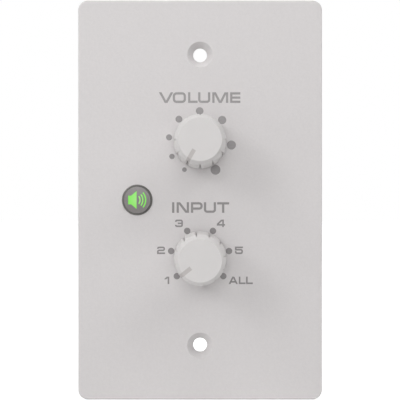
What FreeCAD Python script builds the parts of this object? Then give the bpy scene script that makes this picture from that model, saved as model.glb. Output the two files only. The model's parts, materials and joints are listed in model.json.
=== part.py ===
"""Audio zone controller: a single-gang wall plate with a volume dial, an input
selector, a lit push button and the electronics that stand behind the plate.

Millimetres, +Z up. The back of the plate, which lies on the wall, is the plane
y = 0, the plate's front looks along -Y and the electronics reach into the wall
along +Y. The origin is midway between the two screw holes of the plate.
"""
import FreeCAD, Part
import os
import re
import Sketcher

Vector = FreeCAD.Vector

# Driving sizes: millimetres, degrees and counts
SIZES = {
    # Wall plate
    "plate_width": 69.85,
    "plate_height": 114.3,
    "plate_thickness": 2.3,
    "plate_corner_radius": 2.7,
    "plate_edge_round": 0.4,
    "screw_spacing": 83.34,
    "screw_hole_diameter": 4.0,
    "countersink_diameter": 7.38,
    "countersink_angle": 82.0,
    "dial_offset": 16.5,
    "button_offset": 18.0,
    # Dial ranges
    "volume_range_angle": 300.0,
    "input_positions": 6,
    "input_step": 51.4286,
    # Knobs
    "knob_gap": 0.5,
    "knob_length": 15.5,
    "knob_rim_radius": 7.55,
    "knob_shoulder_radius": 7.0,
    "knob_face_radius": 5.95,
    "knob_bevel": 2.0,
    "knob_edge_round": 0.2,
    "knob_top": 1.9,
    "knob_recess_radius": 5.95,
    "knob_recess_depth": 3.2,
    "knob_hollow_radius": 5.5,
    "knob_hub_radius": 4.4,
    "flute_count": 12,
    "flute_root_radius": 6.5,
    "flute_width": 0.9,
    "pointer_width": 1.15,
    "pointer_start": 3.2,
    "pointer_depth": 0.6,
    "pointer_drop": 8.0,
    "knob_spring_thickness": 0.25,
    "knob_spring_width": 3.2,
    "knob_spring_length": 7.0,
    # Shafts and bushings
    "shaft_radius": 3.0,
    "shaft_flat": 1.5,
    "shaft_chamfer": 0.3,
    "shaft_end_gap": 0.2,
    "shaft_collar_radius": 3.7,
    "shaft_collar_length": 0.9,
    "shaft_tail_radius": 2.5,
    "shaft_pivot_radius": 1.0,
    "stop_lug_radius": 4.8,
    "stop_lug_angle": 20.0,
    "stop_gap_angle": 0.5,
    "stop_post_radius": 5.2,
    "fit_clearance": 0.02,
    "running_clearance": 0.03,
    "free_clearance": 0.1,
    "bushing_radius": 3.5,
    "bushing_length": 5.2,
    "washer_radius": 5.3,
    "washer_thickness": 0.5,
    "nut_flats": 10.0,
    "nut_thickness": 2.0,
    "clip_radius": 4.1,
    "clip_thickness": 0.4,
    "clip_groove_depth": 0.7,
    "clip_slot_width": 3.6,
    # Potentiometer and selector switch
    "flange_thickness": 1.2,
    "volume_pot_width": 12.0,
    "input_switch_width": 13.0,
    "control_cavity_radius": 5.3,
    "case_floor": 0.6,
    "wafer_thickness": 1.0,
    "film_thickness": 0.1,
    "track_inner_radius": 3.2,
    "track_outer_radius": 4.5,
    "track_angle": 324.0,
    "collector_inner_radius": 1.5,
    "collector_outer_radius": 2.4,
    "contact_angle": 26.0,
    "rotor_radius": 4.6,
    "rotor_front_gap": 0.3,
    "rotor_thickness": 3.6,
    "wiper_width": 1.4,
    "wiper_thickness": 0.2,
    "wiper_foot_width": 0.5,
    "close_clearance": 0.05,
    "detent_depth": 0.35,
    "detent_width": 1.3,
    "detent_root_width": 0.65,
    "detent_leaf_thickness": 0.2,
    "detent_leaf_width": 1.6,
    "detent_leaf_span": 9.0,
    "detent_leaf_rise": 1.3,
    "pin_width": 0.8,
    "pin_thickness": 0.4,
    "pin_hole_radius": 0.55,
    "pin_pitch": 2.5,
    "pin_circle": 4.4,
    "pin_reach": 1.4,
    # Circuit board and what carries it
    "board_width": 44.0,
    "board_height": 64.0,
    "board_thickness": 1.6,
    "board_corner_radius": 1.5,
    "standoff_length": 9.0,
    "standoff_spacing_x": 36.0,
    "standoff_spacing_z": 56.0,
    "standoff_radius": 2.5,
    "standoff_flange_radius": 3.2,
    "standoff_flange_thickness": 0.7,
    "standoff_bore_depth": 6.0,
    "screw_radius": 1.5,
    "screw_reach": 4.0,
    "screw_head_radius": 2.8,
    "screw_head_height": 1.9,
    "screw_head_chamfer": 0.4,
    "screw_recess_length": 3.2,
    "screw_recess_width": 0.7,
    "screw_recess_depth": 1.1,
    "lock_washer_radius": 2.6,
    "lock_washer_thickness": 0.6,
    "lock_washer_slit": 0.5,
    # Push button
    "bezel_inner_radius": 4.0,
    "bezel_outer_radius": 4.4,
    "bezel_proud": 0.35,
    "bezel_lip": 0.06,
    "bezel_foot": 0.08,
    "bezel_barrel_wall": 0.25,
    "bezel_barrel_reach": 1.4,
    "bezel_clip_width": 1.2,
    "bezel_clip_thickness": 0.5,
    "cap_clearance": 0.1,
    "cap_proud": 0.55,
    "cap_dome": 0.2,
    "cap_edge": 0.12,
    "cap_front_wall": 0.85,
    "cap_wall": 0.8,
    "cap_skirt_reach": 0.4,
    "button_travel": 1.0,
    "icon_magnet_start": 2.56,
    "icon_magnet_end": 1.7,
    "icon_magnet_height": 2.48,
    "icon_cone_front": 0.13,
    "icon_cone_height": 5.15,
    "icon_arc_centre": 0.9,
    "icon_arc_radius": 1.74,
    "icon_arc_pitch": 0.8,
    "icon_arc_count": 3,
    "icon_arc_angle": 78.0,
    "icon_stroke": 0.37,
    "diffuser_thickness": 0.6,
    "plunger_radius": 2.6,
    "plunger_bore_radius": 1.8,
    "plunger_flange_radius": 3.6,
    "plunger_flange_thickness": 0.75,
    "plunger_tail": 0.6,
    "housing_width": 9.0,
    "housing_height": 5.0,
    "housing_roof": 0.8,
    "housing_floor": 0.6,
    "housing_cavity_radius": 3.9,
    "bridge_thickness": 0.2,
    "fixed_contact_thickness": 0.2,
    "fixed_contact_inner": 2.9,
    "fixed_contact_outer": 3.75,
    "fixed_contact_width": 0.7,
    "push_pin_thickness": 0.35,
    "spring_radius": 2.28,
    "spring_wire_radius": 0.13,
    "spring_turns": 3,
    "led_radius": 1.5,
    "led_flange_radius": 1.75,
    "led_flange_thickness": 0.9,
    "led_height": 3.2,
    "led_dome_round": 1.35,
    "led_lead_pitch": 1.9,
    "led_lead_width": 0.45,
    "lead_hole_radius": 0.4,
    # Network socket
    "jack_x": 9.5,
    "jack_z": 0.0,
    "jack_width": 16.0,
    "jack_height": 13.6,
    "jack_depth": 16.5,
    "jack_floor_depth": 3.6,
    "jack_mouth_width": 11.7,
    "jack_mouth_height": 8.2,
    "jack_latch_width": 6.3,
    "jack_latch_height": 1.3,
    "jack_key_width": 4.1,
    "jack_key_height": 0.9,
    "jack_underside_depth": 2.4,
    "jack_peg_radius": 1.5,
    "jack_peg_offset_x": 5.7,
    "jack_peg_offset_z": 3.0,
    "jack_peg_reach": 0.6,
    "shield_thickness": 0.25,
    "wire_count": 8,
    "wire_pitch": 1.02,
    "wire_thickness": 0.34,
    "wire_width": 0.45,
    "wire_row_gap": 1.6,
    "wire_reach": 1.0,
    "wire_rise": 1.9,
    "wire_length": 8.5,
    "wire_hole_radius": 0.35,
    "wire_room": 0.34,
    # Surface-mounted parts on the back of the board
    "lead_thickness": 0.2,
    "lead_width": 0.35,
    "package_standoff": 0.1,
    "package_bevel": 0.2,
    "processor_x": -7.5,
    "processor_z": -1.0,
    "processor_width": 7.0,
    "processor_thickness": 1.4,
    "processor_lead_pitch": 0.8,
    "processor_leads_per_side": 8,
    "processor_lead_length": 1.0,
    "driver_x": 12.0,
    "driver_z": -14.0,
    "driver_width": 4.9,
    "driver_height": 3.9,
    "driver_thickness": 1.5,
    "driver_lead_pitch": 1.27,
    "driver_leads_per_side": 4,
    "driver_lead_length": 1.05,
    "regulator_x": 13.0,
    "regulator_z": 15.0,
    "regulator_width": 6.5,
    "regulator_height": 3.5,
    "regulator_thickness": 1.6,
    "regulator_lead_count": 3,
    "regulator_lead_pitch": 2.3,
    "regulator_lead_width": 0.7,
    "regulator_lead_length": 1.75,
    "regulator_tab_width": 3.0,
    "capacitor_x": 7.5,
    "capacitor_z": 26.5,
    "capacitor_radius": 3.15,
    "capacitor_height": 5.8,
    "capacitor_base_thickness": 0.9,
    "capacitor_base_width": 6.6,
    "capacitor_groove_depth": 0.3,
    "chip_length": 2.0,
    "chip_width": 1.25,
    "chip_thickness": 0.55,
    "chip_pitch": 2.6,
    "resistor_x": -16.5,
    "resistor_z": -23.5,
    "resistor_columns": 5,
    "resistor_rows": 2,
    "chip_capacitor_x": -16.5,
    "chip_capacitor_z": 9.5,
    "chip_capacitor_columns": 2,
    "chip_capacitor_rows": 3,
    "chip_row_pitch": 3.4,
    "crystal_x": -14.0,
    "crystal_z": -11.0,
    "crystal_length": 11.0,
    "crystal_width": 4.5,
    "crystal_height": 3.2,
    "crystal_base_thickness": 0.6,
    "crystal_base_rim": 0.4,
    "crystal_lid_round": 1.65,
}

# Places and sizes that follow from the driving sizes, in the same plain words
PLACES = {
    "plate_front": "-plate_thickness",
    "input_range": "(input_positions - 1) * input_step",
    "knob_rear": "plate_front - knob_gap",
    "knob_face": "knob_rear - knob_length",
    "knob_shoulder": "knob_face + knob_bevel",
    "knob_hub_rear": "knob_rear - knob_recess_depth",
    "knob_bore_end": "knob_face + knob_top",
    "knob_bore_radius": "shaft_radius + fit_clearance",
    "knob_flat": "shaft_flat + knob_spring_thickness",
    "shaft_tip": "knob_bore_end + shaft_end_gap",
    "bushing_front": "-bushing_length",
    "clip_rear": "bushing_front - running_clearance",
    "clip_front": "clip_rear - clip_thickness",
    "clip_groove_radius": "shaft_radius - clip_groove_depth",
    "board_front": "standoff_length",
    "board_rear": "board_front + board_thickness",
    "wafer_rear": "board_front - case_floor",
    "wafer_front": "wafer_rear - wafer_thickness",
    "film_front": "wafer_front - film_thickness",
    "collar_front": "flange_thickness + running_clearance",
    "collar_rear": "collar_front + shaft_collar_length",
    "rotor_front": "collar_rear + rotor_front_gap",
    "rotor_rear": "rotor_front + rotor_thickness",
    "wiper_tip": "film_front - close_clearance",
    "detent_root": "rotor_radius - detent_depth",
    "pin_end": "board_rear + pin_reach",
    "bezel_front": "plate_front - bezel_proud",
    "barrel_radius": "bezel_inner_radius + bezel_barrel_wall",
    "cap_radius": "bezel_inner_radius - cap_clearance",
    "cap_front": "plate_front - cap_proud",
    "cap_crown": "cap_front - cap_dome",
    "cap_socket_radius": "cap_radius - cap_wall",
    "cap_inside": "cap_front + cap_front_wall",
    "diffuser_rear": "cap_inside + diffuser_thickness",
    "housing_front": "board_front - housing_height",
    "housing_inside": "housing_front + housing_roof",
    "housing_seat": "board_front - housing_floor",
    "plunger_flange_front": "housing_inside + close_clearance",
    "plunger_flange_rear": "plunger_flange_front + plunger_flange_thickness",
    "plunger_end": "plunger_flange_rear + plunger_tail",
    "bridge_rear": "plunger_flange_rear + bridge_thickness",
    "fixed_contact_front": "bridge_rear + button_travel + close_clearance",
    "led_tip": "board_front - led_flange_thickness - led_height",
    "jack_end": "board_rear + jack_depth",
    "jack_floor": "board_rear + jack_floor_depth",
    "mouth_low": "-jack_mouth_height / 2",
    "wire_plane": "mouth_low + wire_thickness / 2 + close_clearance",
    "icon_arc_inner": "icon_arc_radius - icon_stroke / 2",
}

document = FreeCAD.newDocument("audio_zone_controller")
sheet = document.addObject("Spreadsheet::Sheet", "Sizes")
nodes = []


# The sheet and the formulas

def fill_sheet():
    """Put every driving size into a cell of its own, under its own name."""
    for row, (name, size) in enumerate(SIZES.items(), start=1):
        sheet.set(f"A{row}", name)
        sheet.set(f"B{row}", str(size))
        sheet.setAlias(f"B{row}", name)
    document.recompute()


def formula(text):
    """Write a formula of plain words as one of the sheet's cells."""
    def cell(match):
        word = match.group()
        if word in PLACES:
            return "(" + formula(PLACES[word]) + ")"
        if word in SIZES:
            return "Sizes." + word
        return word
    return re.sub(r"[a-z_]+", cell, text)


def bind(item, targets):
    """Tie properties of an object to formulas."""
    for target, text in targets.items():
        item.setExpression(target, formula(text))


def place(item, x="0", y="0", z="0", turn="0"):
    """Move an object, and turn it clockwise as seen from the front, by formulas."""
    item.Placement = FreeCAD.Placement(Vector(), FreeCAD.Rotation(Vector(0, 1, 0), 1))
    bind(item, {
        "Placement.Base.x": x,
        "Placement.Base.y": y,
        "Placement.Base.z": z,
        "Placement.Rotation.Angle": turn,
    })
    return item


def node(item, label=None):
    """Keep an object as one finished piece of the controller."""
    if label:
        item.Label = label
    nodes.append(item)
    return item


# Sketches

def new_body(label):
    body = document.addObject("PartDesign::Body", label)
    body.Label = label
    return body


def new_sketch(body, role, depth="0"):
    """A sketch on an origin plane of its body, or that far behind it along +Y."""
    plane = next(item for item in body.Origin.OriginFeatures if item.Role == role)
    sketch = body.newObject("Sketcher::SketchObject", body.Name + "_sketch")
    sketch.AttachmentSupport = [(plane, "")]
    sketch.MapMode = "FlatFace"
    if depth != "0":
        bind(sketch, {"AttachmentOffset.Base.z": f"-({depth})"})
    return sketch


def front_sketch(body, depth="0"):
    """A sketch seen from the front: its axes are +X and +Z."""
    return new_sketch(body, "XZ_Plane", depth)


def side_sketch(body):
    """A sketch seen from the side: its axes are +Y and +Z."""
    return new_sketch(body, "YZ_Plane")


def pin_point(sketch, geometry, point, across, up):
    """Hold a point of a sketch at two formulas."""
    for text, kind, axis in ((across, "DistanceX", -2), (up, "DistanceY", -1)):
        if text == "0":
            sketch.addConstraint(Sketcher.Constraint("PointOnObject", geometry, point, axis))
            continue
        held = sketch.addConstraint(Sketcher.Constraint(kind, -1, 1, geometry, point, 1.0))
        bind(sketch, {f"Constraints[{held}]": text})


def draw_polygon(sketch, corners):
    """A closed outline with each corner at its own formulas."""
    first = sketch.GeometryCount
    count = len(corners)
    guesses = [Vector(1 + i % 2, i, 0) for i in range(count)]
    for i in range(count):
        sketch.addGeometry(Part.LineSegment(guesses[i], guesses[(i + 1) % count]))
    for i in range(count):
        following = first + (i + 1) % count
        sketch.addConstraint(Sketcher.Constraint("Coincident", first + i, 2, following, 1))
    for i, (across, up) in enumerate(corners):
        pin_point(sketch, first + i, 1, across, up)


def draw_circle(sketch, across, up, radius):
    index = sketch.addGeometry(Part.Circle(Vector(), Vector(0, 0, 1), 1.0))
    held = sketch.addConstraint(Sketcher.Constraint("Radius", index, 1.0))
    bind(sketch, {f"Constraints[{held}]": radius})
    pin_point(sketch, index, 3, across, up)


def rectangle(width, height, across="0", up="0"):
    """The corners of a rectangle about a point."""
    left, right = f"{across} - ({width}) / 2", f"{across} + ({width}) / 2"
    low, high = f"{up} - ({height}) / 2", f"{up} + ({height}) / 2"
    return [(left, low), (right, low), (right, high), (left, high)]


# Features

def pad(body, sketch, length):
    """Grow a front sketch along +Y."""
    feature = body.newObject("PartDesign::Pad", body.Name + "_pad")
    feature.Profile = sketch
    feature.Reversed = True
    bind(feature, {"Length": length})
    return feature


def pad_across(body, sketch, width):
    """Grow a side sketch to both sides along X."""
    feature = body.newObject("PartDesign::Pad", body.Name + "_pad")
    feature.Profile = sketch
    feature.Midplane = True
    bind(feature, {"Length": width})
    return feature


def pocket(body, sketch, length):
    """Cut a front sketch along +Y."""
    feature = body.newObject("PartDesign::Pocket", body.Name + "_pocket")
    feature.Profile = sketch
    bind(feature, {"Length": length})
    return feature


def revolve(body, sketch, angle="360"):
    """Turn a side sketch about the Y axis, evenly to both sides of its plane."""
    feature = body.newObject("PartDesign::Revolution", body.Name + "_revolution")
    feature.Profile = sketch
    feature.ReferenceAxis = (sketch, ["H_Axis"])
    feature.Midplane = True
    bind(feature, {"Angle": angle})
    return feature


def polar_pattern(body, original, count):
    """Repeat a cut of the body around the Y axis."""
    feature = body.newObject("PartDesign::PolarPattern", body.Name + "_pattern")
    feature.Originals = [original]
    feature.Axis = (original.Profile[0], ["N_Axis"])
    feature.Angle = 360
    bind(feature, {"Occurrences": count})
    body.Tip = feature
    return feature


def dress_edges(body, kind, wanted, size):
    """Fillet or chamfer the edges of a body that a test picks."""
    document.recompute()
    base = body.Tip
    edges = [f"Edge{i}" for i, edge in enumerate(base.Shape.Edges, start=1) if wanted(edge)]
    feature = body.newObject("PartDesign::" + kind, body.Name + "_" + kind.lower())
    feature.Base = (base, edges)
    bind(feature, {"Radius" if kind == "Fillet" else "Size": size})
    return feature


def runs_along_y(edge):
    """True for a straight edge square to the plate."""
    ends = [vertex.Point for vertex in edge.Vertexes]
    if len(ends) != 2 or not isinstance(edge.Curve, Part.Line):
        return False
    return abs(ends[0].y - ends[1].y) > edge.Length * 0.999


def on_plane(edge, depth):
    """True for an edge that lies in the plane at that depth."""
    return all(abs(vertex.Point.y - depth) < 1e-6 for vertex in edge.Vertexes)


def foremost(body):
    """A test for the edges in a body's front plane."""
    document.recompute()
    front = min(vertex.Point.y for vertex in body.Shape.Vertexes)
    return lambda edge: on_plane(edge, front)


def rearmost(body):
    """A test for the edges in a body's rear plane."""
    document.recompute()
    rear = max(vertex.Point.y for vertex in body.Shape.Vertexes)
    return lambda edge: on_plane(edge, rear)


def prism(label, corners, start, length):
    """A body with one outline seen from the front, grown along +Y."""
    body = new_body(label)
    sketch = front_sketch(body, start)
    draw_polygon(sketch, corners)
    pad(body, sketch, length)
    return body


def turned(label, profile, angle="360"):
    """A body turned about the Y axis from (depth, radius) corners."""
    body = new_body(label)
    sketch = side_sketch(body)
    draw_polygon(sketch, profile)
    revolve(body, sketch, angle)
    return body


def ring(label, inner, outer, front, rear, angle="360"):
    """A flat ring about the Y axis, or a stretch of one centred on +Z."""
    profile = [(front, inner), (rear, inner), (rear, outer), (front, outer)]
    return turned(label, profile, angle)


def cut_holes(body, centres, radius, front, length):
    """Round holes along +Y."""
    sketch = front_sketch(body, front)
    for x, z in centres:
        draw_circle(sketch, x, z, radius)
    return pocket(body, sketch, length)


def block(label, x, z, width, height, front, depth):
    """A box about a point of the XZ plane, from its front face along +Y."""
    item = document.addObject("Part::Box", label)
    bind(item, {"Length": width, "Width": depth, "Height": height})
    bind(item, {
        "Placement.Base.x": f"{x} - ({width}) / 2",
        "Placement.Base.y": front,
        "Placement.Base.z": f"{z} - ({height}) / 2",
    })
    return item


def joined(label, items):
    """One solid made of overlapping or touching pieces."""
    item = document.addObject("Part::MultiFuse", label)
    item.Shapes = items
    return item


def group(label, items):
    """Separate solids of one kind kept as one node."""
    item = document.addObject("Part::Compound", label)
    item.Links = items
    return node(item, label)


def slit_ring(label, inner, outer, front, rear, slit):
    """A spring ring with a gap at its top."""
    whole = ring(label + "_ring", inner, outer, front, rear)
    gap = block(label + "_gap", "0", f"({outer}) / 2", slit, outer, front, f"{rear} - ({front})")
    item = document.addObject("Part::Cut", label)
    item.Base = whole
    item.Tool = gap
    return item


# Wall plate

def build_faceplate():
    body = prism("faceplate", rectangle("plate_width", "plate_height"), "plate_front", "plate_thickness")
    dress_edges(body, "Fillet", runs_along_y, "plate_corner_radius")
    dress_edges(body, "Fillet", foremost(body), "plate_edge_round")
    dials = [("0", "dial_offset"), ("0", "-dial_offset")]
    cut_holes(body, dials, "bushing_radius + free_clearance", "plate_front", "plate_thickness")
    button = [("-button_offset", "0")]
    cut_holes(body, button, "barrel_radius + close_clearance", "plate_front", "plate_thickness")
    cut_screw_holes(body)
    node(body)


def cut_screw_holes(body):
    """Two countersunk holes for the screws of the wall box."""
    sketch = front_sketch(body, "plate_front")
    for side in ("", "-"):
        draw_circle(sketch, "0", f"{side}screw_spacing / 2", "screw_hole_diameter / 2")
    document.recompute()
    hole = body.newObject("PartDesign::Hole", "plate_screw_holes")
    hole.Profile = sketch
    hole.DepthType = "ThroughAll"
    hole.HoleCutType = "Countersink"
    hole.HoleCutCustomValues = True
    bind(hole, {
        "Diameter": "screw_hole_diameter",
        "HoleCutDiameter": "countersink_diameter",
        "HoleCutCountersinkAngle": "countersink_angle",
    })


# Circuit board and what carries it

def standoff_places():
    return [
        (f"{across} standoff_spacing_x / 2", f"{up} standoff_spacing_z / 2")
        for across in "+-" for up in "+-"
    ]


def build_standoffs():
    """Four threaded bosses welded to the back of the plate."""
    bore_start = "board_front - standoff_bore_depth"
    profile = [
        ("0", "0"),
        ("0", "standoff_flange_radius"),
        ("standoff_flange_thickness", "standoff_flange_radius"),
        ("standoff_flange_thickness", "standoff_radius"),
        ("board_front", "standoff_radius"),
        ("board_front", "screw_radius"),
        (bore_start, "screw_radius"),
        (bore_start, "0"),
    ]
    members = []
    for number, (x, z) in enumerate(standoff_places(), start=1):
        members.append(place(turned(f"standoff_{number}", profile), x=x, z=z))
    group("plate_standoffs", members)


def build_board_screws():
    """Four pan-head screws with cross recesses, each with a split lock washer."""
    seat = "board_rear + lock_washer_thickness"
    top = f"{seat} + screw_head_height"
    profile = [
        ("board_front - screw_reach", "0"),
        ("board_front - screw_reach", "screw_radius"),
        (seat, "screw_radius"),
        (seat, "screw_head_radius"),
        (f"{top} - screw_head_chamfer", "screw_head_radius"),
        (top, "screw_head_radius - screw_head_chamfer"),
        (top, "0"),
    ]
    arm, half = "screw_recess_length / 2", "screw_recess_width / 2"
    cross = [
        (f"-{half}", f"-{arm}"), (half, f"-{arm}"), (half, f"-{half}"), (arm, f"-{half}"),
        (arm, half), (half, half), (half, arm), (f"-{half}", arm),
        (f"-{half}", half), (f"-{arm}", half), (f"-{arm}", f"-{half}"), (f"-{half}", f"-{half}"),
    ]
    screws, washers = [], []
    for number, (x, z) in enumerate(standoff_places(), start=1):
        screw = turned(f"board_screw_{number}", profile)
        recess = front_sketch(screw, f"{top} - screw_recess_depth")
        draw_polygon(recess, cross)
        pocket(screw, recess, "screw_recess_depth")
        screws.append(place(screw, x=x, z=z))
        washer = slit_ring(
            f"lock_washer_{number}", "screw_radius", "lock_washer_radius",
            "board_rear", seat, "lock_washer_slit")
        washers.append(place(washer, x=x, z=z))
    group("board_screws", screws)
    group("board_lock_washers", washers)


def build_circuit_board():
    """The board, with a hole for every pin, peg and screw that passes through it."""
    body = prism("circuit_board", rectangle("board_width", "board_height"), "board_front", "board_thickness")
    dress_edges(body, "Fillet", runs_along_y, "board_corner_radius")
    hole_sets = [
        (standoff_places(), "screw_radius + free_clearance"),
        (shifted(volume_pins(), "0", "dial_offset"), "pin_hole_radius"),
        (shifted(input_pins(), "0", "-dial_offset"), "pin_hole_radius"),
        (shifted(push_pins() + led_leads(), "-button_offset", "0"), "lead_hole_radius"),
        (shifted(wire_pins(), "jack_x", "jack_z"), "wire_hole_radius"),
        (shifted(jack_pegs(), "jack_x", "jack_z"), "jack_peg_radius + free_clearance"),
    ]
    for centres, radius in hole_sets:
        cut_holes(body, centres, radius, "board_front", "board_thickness")
    node(body)


def shifted(centres, x, z):
    """The same places seen from the plate's own origin."""
    return [(f"{x} + {across}", f"{z} + {up}") for across, up in centres]


# Dials: bushing, nut, shaft, rotor and knob, alike for both controls

def start_angle(dial_range):
    """How far the pointer stands left of straight up at its first position."""
    return f"({dial_range}) / 2"


def build_bushing(label, width, dial_range, z):
    """Die-cast flange with a threaded barrel and the post that stops the shaft."""
    body = prism(label, rectangle(width, width), "0", "flange_thickness")
    barrel = side_sketch(body)
    draw_polygon(barrel, [
        ("bushing_front", "0"),
        ("bushing_front", "bushing_radius - shaft_chamfer"),
        ("bushing_front + shaft_chamfer", "bushing_radius"),
        ("flange_thickness", "bushing_radius"),
        ("flange_thickness", "0"),
    ])
    revolve(body, barrel)
    post = side_sketch(body)
    inner = "shaft_collar_radius + free_clearance"
    draw_polygon(post, [
        ("0", f"-({inner})"),
        ("collar_rear", f"-({inner})"),
        ("collar_rear", "-stop_post_radius"),
        ("0", "-stop_post_radius"),
    ])
    revolve(body, post, f"360 - ({dial_range}) - stop_lug_angle - 2 * stop_gap_angle")
    bore = "shaft_radius + running_clearance"
    cut_holes(body, [("0", "0")], bore, "bushing_front", "bushing_length + flange_thickness")
    node(place(body, z=z))


def build_fasteners(prefix, z):
    """Toothed washer and hexagon nut that hold the bushing to the plate."""
    washer_front = "plate_front - washer_thickness"
    washer = ring(prefix + "_washer", "bushing_radius", "washer_radius", washer_front, "plate_front")
    node(place(washer, z=z))
    corner = "nut_flats / 2 / cos(30)"
    hexagon = [(f"{corner} * cos({60 * i})", f"{corner} * sin({60 * i})") for i in range(6)]
    hexagon[0] = (corner, "0")
    hexagon[3] = (f"-{corner}", "0")
    nut = prism(prefix + "_nut", hexagon, f"{washer_front} - nut_thickness", "nut_thickness")
    cut_holes(nut, [("0", "0")], "bushing_radius", f"{washer_front} - nut_thickness", "nut_thickness")
    node(place(nut, z=z))


def build_shaft(prefix, z, turn):
    """Flatted shaft with its collar, stop lug, rotor seat and rear pivot."""
    body = turned(prefix + "_shaft", [
        ("shaft_tip", "0"),
        ("shaft_tip", "shaft_radius - shaft_chamfer"),
        ("shaft_tip + shaft_chamfer", "shaft_radius"),
        ("clip_front", "shaft_radius"),
        ("clip_front", "clip_groove_radius"),
        ("clip_rear", "clip_groove_radius"),
        ("clip_rear", "shaft_radius"),
        ("collar_front", "shaft_radius"),
        ("collar_front", "shaft_collar_radius"),
        ("collar_rear", "shaft_collar_radius"),
        ("collar_rear", "shaft_tail_radius"),
        ("rotor_rear", "shaft_tail_radius"),
        ("rotor_rear", "shaft_pivot_radius"),
        ("wafer_rear", "shaft_pivot_radius"),
        ("wafer_rear", "0"),
    ])
    lug = side_sketch(body)
    draw_polygon(lug, [
        ("collar_front", "shaft_tail_radius"),
        ("collar_rear", "shaft_tail_radius"),
        ("collar_rear", "stop_lug_radius"),
        ("collar_front", "stop_lug_radius"),
    ])
    revolve(body, lug, "stop_lug_angle")
    flat = front_sketch(body, "shaft_tip")
    waste = "shaft_radius - shaft_flat"
    draw_polygon(flat, rectangle("shaft_radius * 2", waste, up=f"shaft_flat + ({waste}) / 2"))
    pocket(body, flat, "knob_hub_rear - shaft_tip")
    node(place(body, z=z, turn=turn))
    clip = slit_ring(
        prefix + "_clip", "clip_groove_radius", "clip_radius",
        "clip_front", "clip_rear", "clip_slot_width")
    node(place(clip, z=z, turn=turn))


def build_rotor(prefix, z, turn, notches=None):
    """Moulded rotor on the shaft, and the wiper on the rotor's rear face."""
    body = ring(prefix + "_rotor", "shaft_tail_radius", "rotor_radius", "rotor_front", "rotor_rear")
    if notches:
        notch = front_sketch(body, "rotor_front")
        draw_polygon(notch, [
            ("-detent_root_width / 2", "detent_root"),
            ("detent_root_width / 2", "detent_root"),
            ("detent_width / 2", "rotor_radius + free_clearance"),
            ("-detent_width / 2", "rotor_radius + free_clearance"),
        ])
        polar_pattern(body, pocket(body, notch, "rotor_thickness"), notches)
    node(place(body, z=z, turn=turn))
    middle = "(track_inner_radius + track_outer_radius) / 2"
    inner = "(collector_inner_radius + collector_outer_radius) / 2"
    length = f"{middle} - ({inner}) + 2 * wiper_foot_width"
    arm = rectangle("wiper_width", length, up=f"(({middle}) + ({inner})) / 2")
    wiper = prism(prefix + "_wiper", arm, "rotor_rear", "wiper_thickness")
    for radius in (inner, middle):
        foot = front_sketch(wiper, "rotor_rear")
        draw_polygon(foot, rectangle("wiper_foot_width", "wiper_foot_width", up=radius))
        pad(wiper, foot, "wiper_tip - rotor_rear")
    node(place(wiper, z=z, turn=turn))


def build_case(prefix, width, pins, z, leaf_pocket=False):
    """Moulded case behind the bushing, standing on the board."""
    body = prism(prefix + "_case", rectangle(width, width), "flange_thickness",
                 "board_front - flange_thickness")
    cut_holes(body, [("0", "0")], "control_cavity_radius", "flange_thickness",
              "wafer_rear - flange_thickness")
    if leaf_pocket:
        room = front_sketch(body, "flange_thickness")
        height = "detent_leaf_rise + detent_leaf_thickness + 2 * free_clearance"
        foot = "detent_root + close_clearance - free_clearance"
        draw_polygon(room, rectangle("detent_leaf_span", height, up=f"-({foot} + ({height}) / 2)"))
        pocket(body, room, "rotor_rear - flange_thickness")
    cut_holes(body, pins, "pin_hole_radius", "wafer_rear", "case_floor")
    node(place(body, z=z))


def build_wafer(prefix, z):
    """Phenolic disc that carries the tracks and the shaft's rear pivot."""
    body = ring(prefix + "_wafer", "shaft_pivot_radius + running_clearance",
                "control_cavity_radius - close_clearance", "wafer_front", "wafer_rear")
    node(place(body, z=z))


def build_terminals(prefix, pins, z):
    """Solder pins from the wafer through the case and the board."""
    members = []
    for number, (x, up) in enumerate(pins, start=1):
        members.append(block(
            f"{prefix}_terminal_{number}", x, f"{z} + {up}", "pin_width", "pin_thickness",
            "wafer_rear", "pin_end - wafer_rear"))
    group(prefix + "_terminals", members)


def flute_sketch(body, depth):
    """The V of one grip flute, at the top of the knob, open to the outside."""
    sketch = front_sketch(body, depth)
    slope = "flute_width / 2 / (knob_rim_radius - flute_root_radius)"
    outside = "knob_rim_radius + free_clearance"
    half = f"({outside} - flute_root_radius) * {slope}"
    draw_polygon(sketch, [("0", "flute_root_radius"), (half, outside), (f"-{half}", outside)])
    return sketch


def knob_form(label, inside):
    """The knob's outer form with its flutes, closed by the corners of its underside."""
    body = turned(label, [
        ("knob_face", "0"),
        ("knob_face", "knob_face_radius"),
        ("knob_shoulder", "knob_shoulder_radius"),
        ("knob_rear", "knob_rim_radius"),
    ] + inside)
    dress_edges(body, "Fillet", foremost(body), "knob_edge_round")
    polar_pattern(body, pocket(body, flute_sketch(body, "knob_face"), "knob_length"), "flute_count")
    return body


def pointer_outline():
    """Side outline of the pointer's bar, standing a little out of the knob."""
    front, end = "knob_face - free_clearance", "knob_face + pointer_drop"
    inner = "flute_root_radius - pointer_depth / 2"
    outer = "knob_rim_radius + free_clearance"
    turn_in = "knob_face + pointer_depth"
    return [
        (front, "pointer_start"),
        (front, outer),
        (end, outer),
        (end, inner),
        ("knob_shoulder", inner),
        (turn_in, "knob_face_radius - pointer_depth"),
        (turn_in, "pointer_start"),
    ]


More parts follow.
